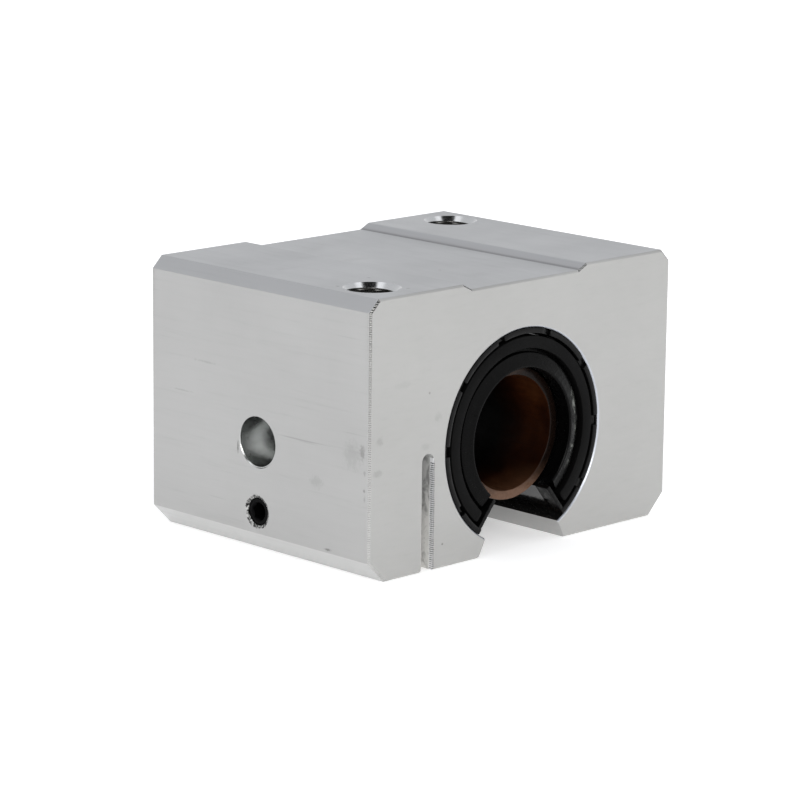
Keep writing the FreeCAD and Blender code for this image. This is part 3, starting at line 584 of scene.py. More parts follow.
def plastic(name, base, rough=(0.38, 0.55), grain=900.0, bump=0.08, spec=0.5, grease=0.0, tint=(1, 1, 1)):
    m = Mat(name).set(Specular_IOR_Level=spec)
    n1 = m.noise(m.obj(), grain, detail=4, rough=0.6)
    n2 = m.noise(m.obj(), 70.0, detail=5, rough=0.6, distortion=0.6)
    lo = tuple(base * t * 0.75 for t in tint)
    hi = tuple(base * t * 1.35 for t in tint)
    m.color(m.ramp(n2, [(0.3, lo), (0.72, hi)]))
    rg = m.ramp(n2, [(0.35, rough[1]), (0.68, rough[0])])
    if grease > 0:
        film = m.noise(m.obj(), 260.0, detail=3, rough=0.5, distortion=1.4)
        rg = m.mix(m.ramp(film, [(0.48, 0.0), (0.60, grease)]), rg, 0.08)
    m.rough(rg)
    b = m.bump(n1, bump, 0.00004)
    if grease > 0:
        b = m.bump(m.noise(m.obj(), 330.0, detail=2, rough=0.5, distortion=1.2), grease * 0.55, 0.00018, b)
    m.normal(b)
    return m.m


MAT_SHELL = plastic("shell_plastic", 0.0018, rough=(0.18, 0.36), bump=0.12, grease=0.9, spec=0.13)
MAT_RING = plastic("ring_plastic", 0.0030, rough=(0.42, 0.56), bump=0.16, grease=0.0, spec=0.048)


def wiper_material():
    """Wiper rubber, with a film and a few drops of grease on one side."""
    m = Mat("wiper_rubber")
    n1 = m.noise(m.obj(), 900.0, detail=4, rough=0.6)
    n2 = m.noise(m.obj(), 70.0, detail=5, rough=0.6, distortion=0.6)
    film = m.noise(m.obj(), 380.0, detail=4, rough=0.6, distortion=1.6)
    drop = m.noise(m.obj(scale=(1.0, 1.0, 0.55)), 520.0, detail=4, rough=0.6, distortion=1.2)
    rad = m.math("SQRT", m.math("ADD", m.math("MULTIPLY", m.axis(0), m.axis(0)), m.math("MULTIPLY", m.axis(2), m.axis(2))))
    rad = m.math("ADD", rad, m.math("MULTIPLY", m.math("SUBTRACT", m.noise(m.obj(), 240.0, detail=2, rough=0.5), 0.5), 0.0022))
    ring = m.ramp(m.span(rad, 13.4, 15.4), [(0.10, 0.0), (0.34, 1.0), (0.66, 1.0), (0.86, 0.0)])
    near = m.math("MULTIPLY", m.span(m.axis(0), 9.5, 12.0), m.ramp(m.span(m.math("ABSOLUTE", m.axis(2)), 4.0, 8.0), [(0.0, 1.0), (1.0, 0.0)]))
    near = m.math("MULTIPLY", near, ring)
    wet = m.math("MULTIPLY", near, m.ramp(drop, [(0.50, 0.0), (0.57, 1.0)]))
    base = m.ramp(n2, [(0.3, (0.0009, 0.0009, 0.0009)), (0.72, (0.0020, 0.0020, 0.0020))])
    m.color(m.mix(wet, base, (0.075, 0.080, 0.070)))
    rg = m.mix(m.ramp(film, [(0.48, 0.0), (0.60, 0.8)]), m.ramp(n2, [(0.35, 0.42), (0.68, 0.26)]), 0.12)
    m.rough(m.mix(wet, rg, 0.07))
    m.link(m.mix(wet, m.mix(near, 0.065, 0.14), 0.45), m.b.inputs["Specular IOR Level"])
    b = m.bump(n1, 0.10, 0.00004)
    b = m.bump(film, 0.45, 0.00016, b)
    m.normal(m.bump(wet, 0.6, 0.00020, b))
    return m.m


MAT_WIPER = wiper_material()
MAT_CAGE = plastic("cage_plastic", 0.0025, rough=(0.05, 0.12), bump=0.02, grease=0.3, spec=0.9)


def steel(name, tint, rough=(0.12, 0.25), lay=(1.0, 0.05, 1.0), metal=1.0):
    m = Mat(name).set(Metallic=metal)
    marks = m.noise(m.obj(scale=lay), 1500.0, detail=5, rough=0.6)
    cloud = m.noise(m.obj(), 120.0, detail=4, rough=0.6)
    m.color(m.ramp(cloud, [(0.3, tuple(c * 0.85 for c in tint)), (0.7, tint)]))
    m.rough(m.ramp(marks, [(0.3, rough[1]), (0.7, rough[0])]))
    m.normal(m.bump(marks, 0.10, 0.00004))
    return m.m


MAT_BALL = steel("ball_steel", (0.78, 0.78, 0.79), rough=(0.05, 0.10), lay=(1, 1, 1))
MAT_PLATE = steel("plate_steel", (0.56, 0.56, 0.57), rough=(0.18, 0.32))
MAT_PIN = steel("pin_steel", (0.60, 0.60, 0.60), rough=(0.15, 0.28), lay=(0.2, 1, 1))
MAT_SCREW = steel("black_oxide", (0.0022, 0.0022, 0.0024), rough=(0.30, 0.5), lay=(0.3, 1, 1), metal=0.3)
MAT_SCREW.node_tree.nodes["Principled BSDF"].inputs["Specular IOR Level"].default_value = 0.045


def sleeve_material():
    m = Mat("brown_sleeve").set(Specular_IOR_Level=0.10)
    grain = m.noise(m.obj(scale=(1.0, 0.16, 1.0)), 1400.0, detail=6, rough=0.7)
    cloud = m.noise(m.obj(), 110.0, detail=6, rough=0.65, distortion=0.9)
    a = m.ramp(cloud, [(0.30, (0.016, 0.0037, 0.0010)), (0.55, (0.038, 0.0105, 0.0030)), (0.78, (0.070, 0.0235, 0.0075))])
    g = m.ramp(grain, [(0.32, 0.78), (0.55, 1.0), (0.75, 1.22)])
    col = m.mix(1.0, a, g, "MULTIPLY")
    # painted shade: the tube's colour darkens quickly away from its ends; painted light: it is paler low down at each
    # end
    deep = m.span(m.math("ABSOLUTE", m.axis(1)), 2.0, 26.0)
    painted_shade_light_depth = m.math("ADD", deep, m.math("MULTIPLY", m.math("SUBTRACT", m.noise(m.obj(), 130.0, detail=4, rough=0.6), 0.5), 0.22))
    col = m.mix(1.0, col, m.ramp(painted_shade_light_depth, [(0.10, (0.02, 0.02, 0.02)), (0.42, (0.05, 0.045, 0.04)), (0.62, (0.42, 0.40, 0.38)), (0.78, (1.0, 1.0, 1.0)), (0.95, (0.72, 0.72, 0.72))]), "MULTIPLY")
    # painted light and shade by height: darkest a little above the bottom, lightest towards the top
    col = m.mix(1.0, col, m.ramp(m.span(m.axis(2), -10.7, 9.0), [(0.0, (0.9, 0.9, 0.9)), (0.10, (0.34, 0.32, 0.30)), (0.50, (0.62, 0.60, 0.58)), (0.90, (1.20, 1.20, 1.20))]), "MULTIPLY")
    # painted light: a paler brown pool low down near each end
    low = m.math("MULTIPLY", m.ramp(m.span(m.axis(2), -10.6, -7.0), [(0.0, 1.0), (1.0, 0.0)]), m.ramp(painted_shade_light_depth, [(0.66, 0.0), (0.90, 1.0)]))
    col = m.mix(low, col, m.mix(1.0, (0.062, 0.027, 0.013), g, "MULTIPLY"))
    m.color(col)
    m.rough(m.ramp(grain, [(0.3, 0.46), (0.7, 0.28)]))
    m.normal(m.bump(cloud, 0.35, 0.0003, m.bump(grain, 0.25, 0.00006)))
    return m.m


MAT_SLEEVE = sleeve_material()


def sleeve_rim_material():
    m = Mat("brown_sleeve_rim_painted_light").set(Specular_IOR_Level=0.09)
    grain = m.noise(m.obj(), 2200.0, detail=5, rough=0.7)
    wide = m.noise(m.obj(), 160.0, detail=3, rough=0.6, distortion=0.8)
    # painted shade: the rim is near black wherever no light is painted on it
    dark = m.ramp(grain, [(0.3, (0.003, 0.0017, 0.0012)), (0.8, (0.010, 0.0055, 0.004))])
    tan = m.ramp(grain, [(0.3, (0.095, 0.050, 0.031)), (0.6, (0.135, 0.078, 0.052)), (0.8, (0.19, 0.125, 0.088))])
    ragged = m.math("MULTIPLY", m.math("SUBTRACT", wide, 0.5), 0.35)
    # painted light: tan low down on the rim and in a patch at its top left
    low = m.ramp(m.math("ADD", m.span(m.axis(2), -12.4, -4.5), ragged), [(0.12, 1.0), (0.48, 0.22), (0.80, 0.0)])
    top = m.math("MULTIPLY", m.ramp(m.math("ADD", m.span(m.axis(2), 9.0, 12.4), ragged), [(0.30, 0.0), (0.80, 0.55)]), m.ramp(m.span(m.axis(0), -3.0, 4.5), [(0.0, 1.0), (1.0, 0.0)]))
    m.color(m.mix(m.math("ADD", low, top, clamp=True), dark, tan))
    m.rough(m.ramp(grain, [(0.3, 0.30), (0.7, 0.16)]))
    m.normal(m.bump(grain, 0.12, 0.00005))
    return m.m


MAT_RIM = sleeve_rim_material()


# --------------------------------------------------------------------------
# housing
# --------------------------------------------------------------------------
def arc_points(cx, cz, r, a0, a1, n):
    return [(cx + r * math.cos(a0 + (a1 - a0) * k / n), cz + r * math.sin(a0 + (a1 - a0) * k / n)) for k in range(n + 1)]


def housing_section(inset, bore_r):
    """Outline of the housing at one station: inset is the end break on the outer outline."""
    pts = []
    k = (TOP - BASE)  # unused span, kept for reading: the full height

    def lip(sign, r):
        # the lip line runs from its tip on the bore circle to the base
        tz = -math.sqrt(RB * RB - LIP_X * LIP_X)
        dx, dz = LIP_BX - LIP_X, BASE - tz
        a = dx * dx + dz * dz
        b = 2 * (LIP_X * dx + tz * dz)
        c = LIP_X**2 + tz**2 - r * r
        t = (-b + math.sqrt(max(0.0, b * b - 4 * a * c))) / (2 * a)
        return (sign * (LIP_X + t * dx), tz + t * dz)

    base = BASE + inset
    t225 = math.tan(math.radians(22.5)) * inset
    sx = (PAD_X - REC_X)
    slope = math.hypot(sx, REC_D)
    # offset of the recess step corners when the outline moves inwards (downwards here)
    ang = math.atan2(REC_D, sx)
    d_pad = inset * math.tan(ang / 2)

    tip = lip(1, bore_r)
    ratio = (base - tip[1]) / (BASE - tip[1])
    bx = tip[0] + (LIP_BX - tip[0]) * ratio
    right = [
        tip,
        (bx, base),
        (HW - BC - t225, base),
        (HW - inset, BASE + BC + t225),
        (HW - inset, TOP - TC - t225),
        (HW - TC - t225, TOP - inset),
        (PAD_X - d_pad, TOP - inset),
        (REC_X - d_pad, TOP - REC_D - inset),
    ]
    left = [(-x, z) for x, z in right[::-1]]
    # insert the slit into the left base edge, between the chamfer and the lip
    rs = (SLIT_O - SLIT_I) / 2
    cs = SLIT_Z - rs
    arc = arc_points(-(SLIT_O + SLIT_I) / 2, cs, rs, math.pi, 0.0, 20)
    slit = [(-SLIT_O, base)] + arc + [(-SLIT_I, base)]
    pts = right + left[:6] + slit + left[6:]
    # left runs: recess, pad, top, side top, side base, base chamfer end, base lip, tip
    a_end = math.atan2(tip[1], tip[0])
    n = 150
    bore = [(bore_r * math.cos(t), bore_r * math.sin(t)) for t in
            [math.pi - a_end - (math.pi - 2 * a_end) * i / n for i in range(1, n)]]
    return pts + bore


def build_housing():
    stations = [(-HL, END_BREAK, RB + BORE_BREAK), (-HL + BORE_BREAK, END_BREAK - BORE_BREAK, RB), (-HL + END_BREAK, 0.0, RB), (-HL + 0.98, 0.0, RB),
                (HL - 0.98, 0.0, RB), (HL - END_BREAK, 0.0, RB), (HL - BORE_BREAK, END_BREAK - BORE_BREAK, RB), (HL, END_BREAK, RB + BORE_BREAK)]
    verts, faces = [], []
    sections = [housing_section(i, r) for _, i, r in stations]
    n = len(sections[0])
    for (y, _, _), sec in zip(stations, sections):
        for x, z in sec:
            verts.append((x, y, z))
    for k in range(len(stations) - 1):
        for i in range(n):
            j = (i + 1) % n
            faces.append((k * n + i, k * n + j, (k + 1) * n + j, (k + 1) * n + i))
    faces.append(tuple(range(n)))
    last = (len(stations) - 1) * n
    faces.append(tuple(last + i for i in reversed(range(n))))
    ob = make_object("housing_machined", verts, faces)
    clean(ob)
    add_bevel(ob, 0.07, 2, 24.0)

    # lubrication port: core bore, drill cone, small countersink; passage to the bore
    port = revolve("port", [(0, -HW - 2), (4.65, -HW - 2), (4.65, -HW - 0.06), (4.65, -HW + 0.32), (4.65, -HW + 10.4), (2.5, -HW + 11.7), (2.5, -19.2), (0, -19.2)], (0, 0, 0), "X", 96)
    boolean(ob, port)
    # its mouth is broken a little off centre: thin above, wider low down on the far side
    mouth = revolve("port_mouth", [(0, -HW - 1.0), (4.80, -HW - 1.0), (4.80, -HW - 0.04), (4.60, -HW + 0.24), (0, -HW + 0.24)], (0, -0.06, -0.12), "X", 96)
    boolean(ob, mouth)
    # adjusting screw hole, cut plain (its thread is not cut), with a small rough countersink
    # the first turn of thread stands in the mouth, torn by the tap
    rb = random.Random(5)
    seg = 96
    v, f = [], []
    rag = [rb.uniform(-0.10, 0.10) for _ in range(seg)]
    rows = ((-HW - 1.0, 3.16, 0.0), (-HW - 0.02, 3.16, 1.0), (-HW + 0.10, 2.92, 0.8), (-HW + 0.24, 2.60, 0.4), (-HW + 0.29, 2.56, 0.0), (-HW + 0.33, 3.0, 0.0), (-24.0, 3.0, 0.0))
    for x, r, k in rows:
        for i in range(seg):
            t = 2 * math.pi * i / seg
            rr = r + k * (rag[i] + 0.05 * math.sin(5 * t))
            v.append((x, rr * math.cos(t), -13.0 + rr * math.sin(t)))
    last = len(rows) - 1
    for k in range(last):
        for i in range(seg):
            j = (i + 1) % seg
            f.append((k * seg + i, k * seg + j, (k + 1) * seg + j, (k + 1) * seg + i))
    f.append(tuple(range(seg)))
    f.append(tuple(last * seg + i for i in reversed(range(seg))))
    hole = make_object("screw_hole", v, f)
    clean(hole)
    boolean(ob, hole)
    # fine notches along the inner edge of the slit, at both end faces
    rnd = random.Random(11)
    v, f = [], []
    pitch = 0.385
    z = BASE + 0.25
    while z < SLIT_Z - 2.0:
        h = 0.17 + 0.04 * rnd.random()
        dep = 0.24 + 0.10 * rnd.random()
        for sgn in (-1, 1):
            y0, y1 = sgn * (HL + 0.3), sgn * (HL - 0.80 - 0.12 * rnd.random())
            x0, x1 = -SLIT_I - 0.3, -SLIT_I + dep
            b = len(v)
            for y in (y0, y1):
                # a narrow cut, open at the wall of the slit and tapering inside the metal
                v.extend([(x0, y, z - 0.02), (x1, y, z + 0.04), (x1, y, z + h - 0.04), (x0, y, z + h + 0.02)])
            f.extend([(b, b + 1, b + 2, b + 3), (b + 7, b + 6, b + 5, b + 4), (b, b + 4, b + 5, b + 1), (b + 1, b + 5, b + 6, b + 2),
                      (b + 2, b + 6, b + 7, b + 3), (b + 3, b + 7, b + 4, b)])
        z += pitch
    teeth = make_object("teeth", v, f)
    clean(teeth)
    boolean(ob, teeth)
    # threaded holes in the pads: M10 from the top, with a countersunk mouth
    for sx, sy in ((-1, -1), (1, 1)):
        p = (sx * 30.0, sy * 20.0, 0.0)
        cutter = thread_solid("tap", 4.02, 4.98, 1.5, TOP - 24.03, TOP + 1.21, "Z", (p[0] + 0.0013, p[1] - 0.0017, 0.0), segs=60, per_pitch=10)
        boolean(ob, cutter)
        core = revolve("core", [(0, TOP - 27.5), (4.27, TOP - 25.0), (4.27, TOP - 1.13), (5.28, TOP + 0.06), (5.28, TOP + 2), (0, TOP + 2)], p, "Z", 96)
        boolean(ob, core)
    return ob


housing = build_housing()
for mat in (MAT_END, MAT_SIDE, MAT_TOP, MAT_CHAMFER, MAT_BREAK, MAT_HOLE_PAINTED_SHADE, MAT_BORE, MAT_SLIT, MAT_SINK, MAT_TEETH, MAT_PORT_PAINTED_HIGHLIGHT, MAT_NOTCH_PAINTED_SHADE, MAT_BASECH_PAINTED_LIGHT, MAT_BOREDGE_PAINTED_HIGHLIGHT, MAT_BURR, MAT_STEP):
    housing.data.materials.append(mat)
housing.data.polygons.foreach_set("material_index", [0] * len(housing.data.polygons))
for p in housing.data.polygons:
    c, nrm = p.center / MM, p.normal
    r_axis = math.hypot(c.x, c.z)
    idx = 0
    if abs(nrm.y) > 0.95 and abs(abs(c.y) - HL) < 0.02:
        idx = 0
    elif any(math.hypot(c.x - hx, c.y - hy) < 5.4 and c.z < TOP + 0.01 and c.z > 1.0 and abs(nrm.z) < 0.999 for hx, hy in ((-30, -20), (30, 20))):
        idx = 8 if c.z > TOP - 1.16 else 5
    elif abs(nrm.x) > 0.95 and c.z < SLIT_Z and abs(c.x + SLIT_O) < 0.02 and abs(c.y) < HL - 0.001:
        idx = 7
    elif abs(nrm.x) > 0.95 and c.z < SLIT_Z and abs(c.x + SLIT_I) < 0.02 and abs(c.y) < HL - 0.001:
        idx = 9 if abs(c.y) > HL - 0.99 else 7
    elif c.x < -19.5 and c.x > -HW + 0.001 and math.hypot(c.y, c.z) < 5.02:
        idx = 10
    elif c.x < -HW + 0.37 and math.hypot(c.y, c.z) < 5.1 and 0.3 < abs(nrm.x) < 0.999:
        idx = 1
    elif c.x < -HW + 0.37 and math.hypot(c.y, c.z + 13) < 3.33 and not (abs(nrm.x) > 0.999 and c.x < -HW + 0.01):
        idx = 14
    elif c.x < -19.5 and (math.hypot(c.y, c.z) < 5.02 or math.hypot(c.y, c.z + 13) < 3.21) and c.x > -HW - 0.01 and not (abs(nrm.x) > 0.999 and c.x < -HW + 0.01):
        idx = 5
    elif -SLIT_O - 0.05 < c.x < -SLIT_I + 0.3 and c.z < SLIT_Z + 0.05 and abs(c.y) < HL - 0.001 and not (c.z < BASE + 0.01 and nrm.z < -0.9):
        # faces inside the notches take the dark painted-shade copy, the ridges between them the pale one
        idx = (11 if c.x > -SLIT_I + 0.02 else 9) if (c.x > -SLIT_I - 0.05 and abs(c.y) > HL - 0.99) else 7
    elif r_axis < RB + 0.35 and c.z > -18.2:
        idx = 13 if abs(nrm.y) > 0.3 else 6
    elif abs(c.x) < LIP_BX + 0.02 and c.z < -17.2 and abs(nrm.x) > 0.5:
        idx = 1
    elif abs(nrm.y) > 0.25:
        idx = 0 if (nrm.z > 0.3 and abs(nrm.x) < 0.25) else 4
    elif nrm.z > 0.95:
        idx = 2
    elif abs(nrm.x) > 0.95:
        idx = 1
    elif nrm.z < -0.95:
        idx = 1
    elif nrm.z > 0:
        idx = 15 if (abs(c.x) < 17.0 and nrm.z > 0.8) else 3
    else:
        idx = 12
    p.material_index = idx
smooth(housing, 24.0)
# the large flat faces keep their own normals, so nothing shades across them
for p in housing.data.polygons:
    if p.area > 3.0e-6 and max(abs(v) for v in p.normal) > 0.9995 and len(p.vertices) > 4:
        p.use_smooth = False
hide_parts("housing")
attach(housing, "housing")

# --------------------------------------------------------------------------
# bushing: shell with castellated rims
# --------------------------------------------------------------------------
SHELL_END, RIM_DEPTH = 28.9, 0.7


def build_shell():
    outer, inner, rim_in = 19.95, 18.75, 18.9
    gap_half = 1.7 / 2 / 19.4
    walls = []
    gaps = [math.radians(36.0 * g) for g in range(-1, 7)]
    # angular stations: dense everywhere, with wall pairs at each gap
    a_lo, a_hi = mouth_angle(19.4), math.pi - mouth_angle(19.4)
    ts = [a_lo + (a_hi - a_lo) * i / 200 for i in range(201)]
    marks = []
    for g in gaps:
        for e in (g - gap_half, g + gap_half):
            marks.append(e)
    keep = [t for t in ts if all(abs(t - e) > 0.012 for e in marks)]
    extra = []
    for g in gaps:
        extra += [g - gap_half - 0.0085, g - gap_half - 0.0035, g - gap_half, g - gap_half + 0.003,
                  g + gap_half - 0.003, g + gap_half, g + gap_half + 0.0035, g + gap_half + 0.0085]
    angles = sorted(keep + [t for t in extra if a_lo < t < a_hi])

    def rise(t):
        best = min(abs(t - g) for g in gaps)
        d = best - gap_half
        if d <= 0.0:
            return 0.0
        if d < 0.0036:
            return 0.80
        if d < 0.009:
            return 0.965
        return 1.0

    verts, faces = [], []
    prof_n = None
    for t in angles:
        hgt = RIM_DEPTH * rise(t)
        y = SHELL_END - RIM_DEPTH + hgt
        low = SHELL_END - RIM_DEPTH
        prof = [
            (outer, -(y - 0.16)), (outer - 0.05, -(y - 0.05)), (outer - 0.16, -y),
            (rim_in + 0.16, -y), (rim_in + 0.05, -(y - 0.05)), (rim_in, -(y - 0.16)),
            (rim_in, -(low - 0.25)), (inner, -(low - 0.45)),
            (inner, low - 0.45), (rim_in, low - 0.25),
            (rim_in, y - 0.16), (rim_in + 0.05, y - 0.05), (rim_in + 0.16, y),
            (outer - 0.16, y), (outer - 0.05, y - 0.05), (outer, y - 0.16),
        ]
        prof_n = len(prof)
        s = (t - a_lo) / (a_hi - a_lo)
        for r, yy in prof:
            b0, b1 = mouth_angle(r), math.pi - mouth_angle(r)
            # keep the stations radial, and blend to the straight mouth faces near the ends
            w0 = max(0.0, 1 - (t - a_lo) / 0.1)
            w1 = max(0.0, 1 - (a_hi - t) / 0.1)
            tt = t + (b0 - a_lo) * w0 + (b1 - a_hi) * w1
            verts.append((r * math.cos(tt), yy, r * math.sin(tt)))
    m = len(angles)
    for k in range(m - 1):
        for i in range(prof_n):
            j = (i + 1) % prof_n
            faces.append((k * prof_n + i, k * prof_n + j, (k + 1) * prof_n + j, (k + 1) * prof_n + i))
    faces.append(tuple(range(prof_n)))
    faces.append(tuple((m - 1) * prof_n + i for i in reversed(range(prof_n))))
    ob = make_object("bushing_shell", verts, faces)
    clean(ob)
    # windows for the five bearing plates
    v, f = [], []
    for ang in (90, 150, 210, 30, -30):
        t = math.radians(ang)
        ew, eq = Vector((math.cos(t), 0, math.sin(t))), Vector((math.sin(t), 0, -math.cos(t)))
        b = len(v)
        for w in (16.5, 22.0):
            for q in (-4.9, 4.9):
                for y in (-22.3, 22.3):
                    v.append(tuple(ew * w + eq * q + Vector((0, y, 0))))
        f += [(b, b + 1, b + 3, b + 2), (b + 4, b + 6, b + 7, b + 5), (b, b + 4, b + 5, b + 1),
              (b + 2, b + 3, b + 7, b + 6), (b, b + 2, b + 6, b + 4), (b + 1, b + 5, b + 7, b + 3)]
    win = make_object("windows", v, f)
    clean(win)
    boolean(ob, win)
    pin = revolve("pin_clear", [(0, -21), (2.5, -21), (2.5, -17.5), (0, -17.5)], (0, 0, 0), "X", 48)
    boolean(ob, pin)
    return ob


shell = build_shell()


def end_walls():
    """The walls that close the ring channels of the shell at both mouth faces."""
    ux, uz = M_OUT[0] - M_IN[0], M_OUT[1] - M_IN[1]
    ln = math.hypot(ux, uz)
    ux, uz = ux / ln, uz / ln
    nx, nz = -uz, ux
    t = 0.8

    def along(r):
        # distance from M_IN along the mouth line to radius r
        b = M_IN[0] * ux + M_IN[1] * uz
        c = M_IN[0] ** 2 + M_IN[1] ** 2 - r * r
        return -b + math.sqrt(b * b - c)

    a0, a1 = along(12.98), along(19.55)
    verts, faces = [], []
    for sx in (-1, 1):
        for sy in (-1, 1):
            y0, y1 = 25.86, 28.84
            # cross-section (into the bushing, along Y) with a rounded free edge and a softened mouth edge
            sec = round_profile([(0.012, y0), (0.012, y1), (t, y1), (t, y0)], [0.02, 0.16, 0.16, 0.02], 4)
            n = len(sec)
            stations = [a0, a0 + 0.06, a0 + 0.18] + [a0 + 0.18 + (a1 - a0 - 0.18) * k / 24 for k in range(1, 25)]
            b = len(verts)
            for k, a in enumerate(stations):
                shrink = (0.10, 0.03, 0.0)[k] if k < 3 else 0.0
                for d, y in sec:
                    dd = t / 2 + (d - t / 2) * (1 - shrink / t * 2)
                    yy = y - shrink * 0.6 if y > (y0 + y1) / 2 else y
                    sag = 0.035 * math.sin(a * 2.2) * (1.0 if y > (y0 + y1) / 2 else 0.0)
                    dd = max(0.012, dd)
                    verts.append((sx * (M_IN[0] + ux * a + nx * dd), sy * (yy - abs(sag)), M_IN[1] + uz * a + nz * dd))
            m = len(stations)
            for k in range(m - 1):
                for i in range(n):
                    j = (i + 1) % n
                    faces.append((b + k * n + i, b + k * n + j, b + (k + 1) * n + j, b + (k + 1) * n + i))
            faces.append(tuple(b + i for i in range(n)))
            faces.append(tuple(b + (m - 1) * n + i for i in reversed(range(n))))
    ob = make_object("end_walls", verts, faces)
    clean(ob)
    return ob


boolean(shell, end_walls(), "UNION")
shell.data.materials.append(MAT_SHELL)
smooth(shell, 28.0)
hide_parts("outer_shell")
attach(shell, "housing")

# end rings and wipers
for side, sy in (("front", -1.0), ("rear", 1.0)):
    y1, y0 = 28.75, 25.85
    ring = open_ring("ring_" + side, round_profile([(16.15, y0), (18.42, y0), (18.42, y1), (16.15, y1)], [0.05, 0.05, 0.14, 0.14]), sy=sy, end_pull=1.76, end_round=0.55)
    ring.data.materials.append(MAT_RING)
    smooth(ring, 28.0)
    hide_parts("end_ring_" + side)
    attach(ring, "housing")

    # wiper: the face rises as a shallow cone from its root to the crest of the lip
    prof = [(16.05, 25.85), (16.05, 27.35), (15.42, 27.35), (15.28, 28.16), (14.60, 28.34), (13.75, 28.56), (12.98, 28.82), (12.72, 28.80), (12.56, 28.62),
            (12.56, 27.4), (12.56, 25.95), (12.65, 25.85)]
    wiper = open_ring("lip_" + side, round_profile(prof, [0.03, 0.06, 0.06, 0.10, 0.25, 0.3, 0.10, 0.08, 0.06, 0, 0.03, 0.03], 2), sy=sy, end_pull=1.95, end_round=0.0)
    wiper.data.materials.append(MAT_WIPER)
    smooth(wiper, 40.0)
    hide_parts("wiper_" + side)
    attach(wiper, "housing")

# --------------------------------------------------------------------------
# balls: one polished piece per circuit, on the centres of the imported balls
# --------------------------------------------------------------------------
RBALL = 3.175 / 2
for k in range(1, 6):
    node = "ball_circuit_%d" % k
    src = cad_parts[node]
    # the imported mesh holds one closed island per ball: find the islands' centres
    me = src.data
    bm = bmesh.new()
    bm.from_mesh(me)
    bmesh.ops.remove_doubles(bm, verts=bm.verts, dist=1e-7)
    bm.verts.ensure_lookup_table()
    seen, centres = set(), []
    for v0 in bm.verts:
        if v0.index in seen:
            continue
        stack, lo, hi = [v0], v0.co.copy(), v0.co.copy()
        seen.add(v0.index)
        while stack:
            v1 = stack.pop()
            for i in range(3):
                lo[i] = min(lo[i], v1.co[i])
                hi[i] = max(hi[i], v1.co[i])
            for e in v1.link_edges:
                v2 = e.other_vert(v1)
                if v2.index not in seen:
                    seen.add(v2.index)
                    stack.append(v2)
        centres.append((lo + hi) / 2)
    bm.free()
    verts, faces = [], []
    rings_n, segs_n = 14, 26
    for c in centres:
        b = len(verts)
        verts.append((c.x / MM, c.y / MM, c.z / MM + RBALL))
        for i in range(1, rings_n):
            ph = math.pi * i / rings_n
            for j in range(segs_n):
                th = 2 * math.pi * j / segs_n
                verts.append((c.x / MM + RBALL * math.sin(ph) * math.cos(th), c.y / MM + RBALL * math.sin(ph) * math.sin(th), c.z / MM + RBALL * math.cos(ph)))
        verts.append((c.x / MM, c.y / MM, c.z / MM - RBALL))
        last = len(verts) - 1
        for j in range(segs_n):
            j2 = (j + 1) % segs_n
            faces.append((b, b + 1 + j, b + 1 + j2))
            for i in range(rings_n - 2):
                faces.append((b + 1 + i * segs_n + j, b + 1 + (i + 1) * segs_n + j, b + 1 + (i + 1) * segs_n + j2, b + 1 + i * segs_n + j2))
            faces.append((last, b + 1 + (rings_n - 2) * segs_n + j2, b + 1 + (rings_n - 2) * segs_n + j))
    balls = make_object("balls_%d" % k, verts, faces)
    clean(balls)
    balls.data.materials.append(MAT_BALL)
    smooth(balls, 60.0)
    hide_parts(node)
    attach(balls, "bearing_plate_%d" % k)
    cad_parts["bearing_plate_%d" % k].data.materials[0] = MAT_PLATE

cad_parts["ball_retainer"].data.materials[0] = MAT_CAGE
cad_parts["locating_pin"].data.materials[0] = MAT_PIN

# --------------------------------------------------------------------------
# adjusting screw: threaded, with a hexagon socket
# --------------------------------------------------------------------------
SX0, SX1, SZ = -38.65, -23.25, -13.0
screw = thread_solid("set_screw", 2.42, 2.95, 1.0, SX0 + 0.55, SX1 - 0.75, "X", (0, 0, SZ), segs=48, per_pitch=10, taper=0.35)
head = revolve("screw_head", [(0, SX0), (2.35, SX0), (2.55, SX0 + 0.12), (2.78, SX0 + 0.56), (2.42, SX0 + 0.95), (0, SX0 + 0.95)], (0, 0, SZ), "X", 72)
boolean(screw, head, "UNION")
tip = revolve("screw_tip", [(0, SX1 - 1.2), (2.46, SX1 - 1.2), (2.46, SX1 - 0.62), (1.95, SX1 - 0.05), (1.8, SX1), (0, SX1)], (0, 0, SZ), "X", 72)
boolean(screw, tip, "UNION")
hv, hf = [], []
cr = 1.5 / math.cos(math.radians(30))
for x in (SX0 - 1.0, SX0 + 3.4):
    for i in range(6):
        t = math.radians(60 * i + 12)
        hv.append((x, cr * math.cos(t), SZ + cr * math.sin(t)))
hf = [tuple(range(6)), tuple(range(11, 5, -1))] + [(i, i + 6, (i + 1) % 6 + 6, (i + 1) % 6) for i in range(6)]
hexagon = make_object("hex", hv, hf)
clean(hexagon)
boolean(screw, hexagon)
lead = revolve("hex_lead", [(0, SX0 - 0.5), (2.0, SX0 - 0.5), (1.82, SX0), (1.5, SX0 + 0.32), (0, SX0 + 0.5)], (0, 0, SZ), "X", 48)
boolean(screw, lead)
screw.data.materials.clear()
screw.data.materials.append(MAT_SCREW)
smooth(screw, 30.0)
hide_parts("adjusting_screw")
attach(screw, "adjusting_screw")

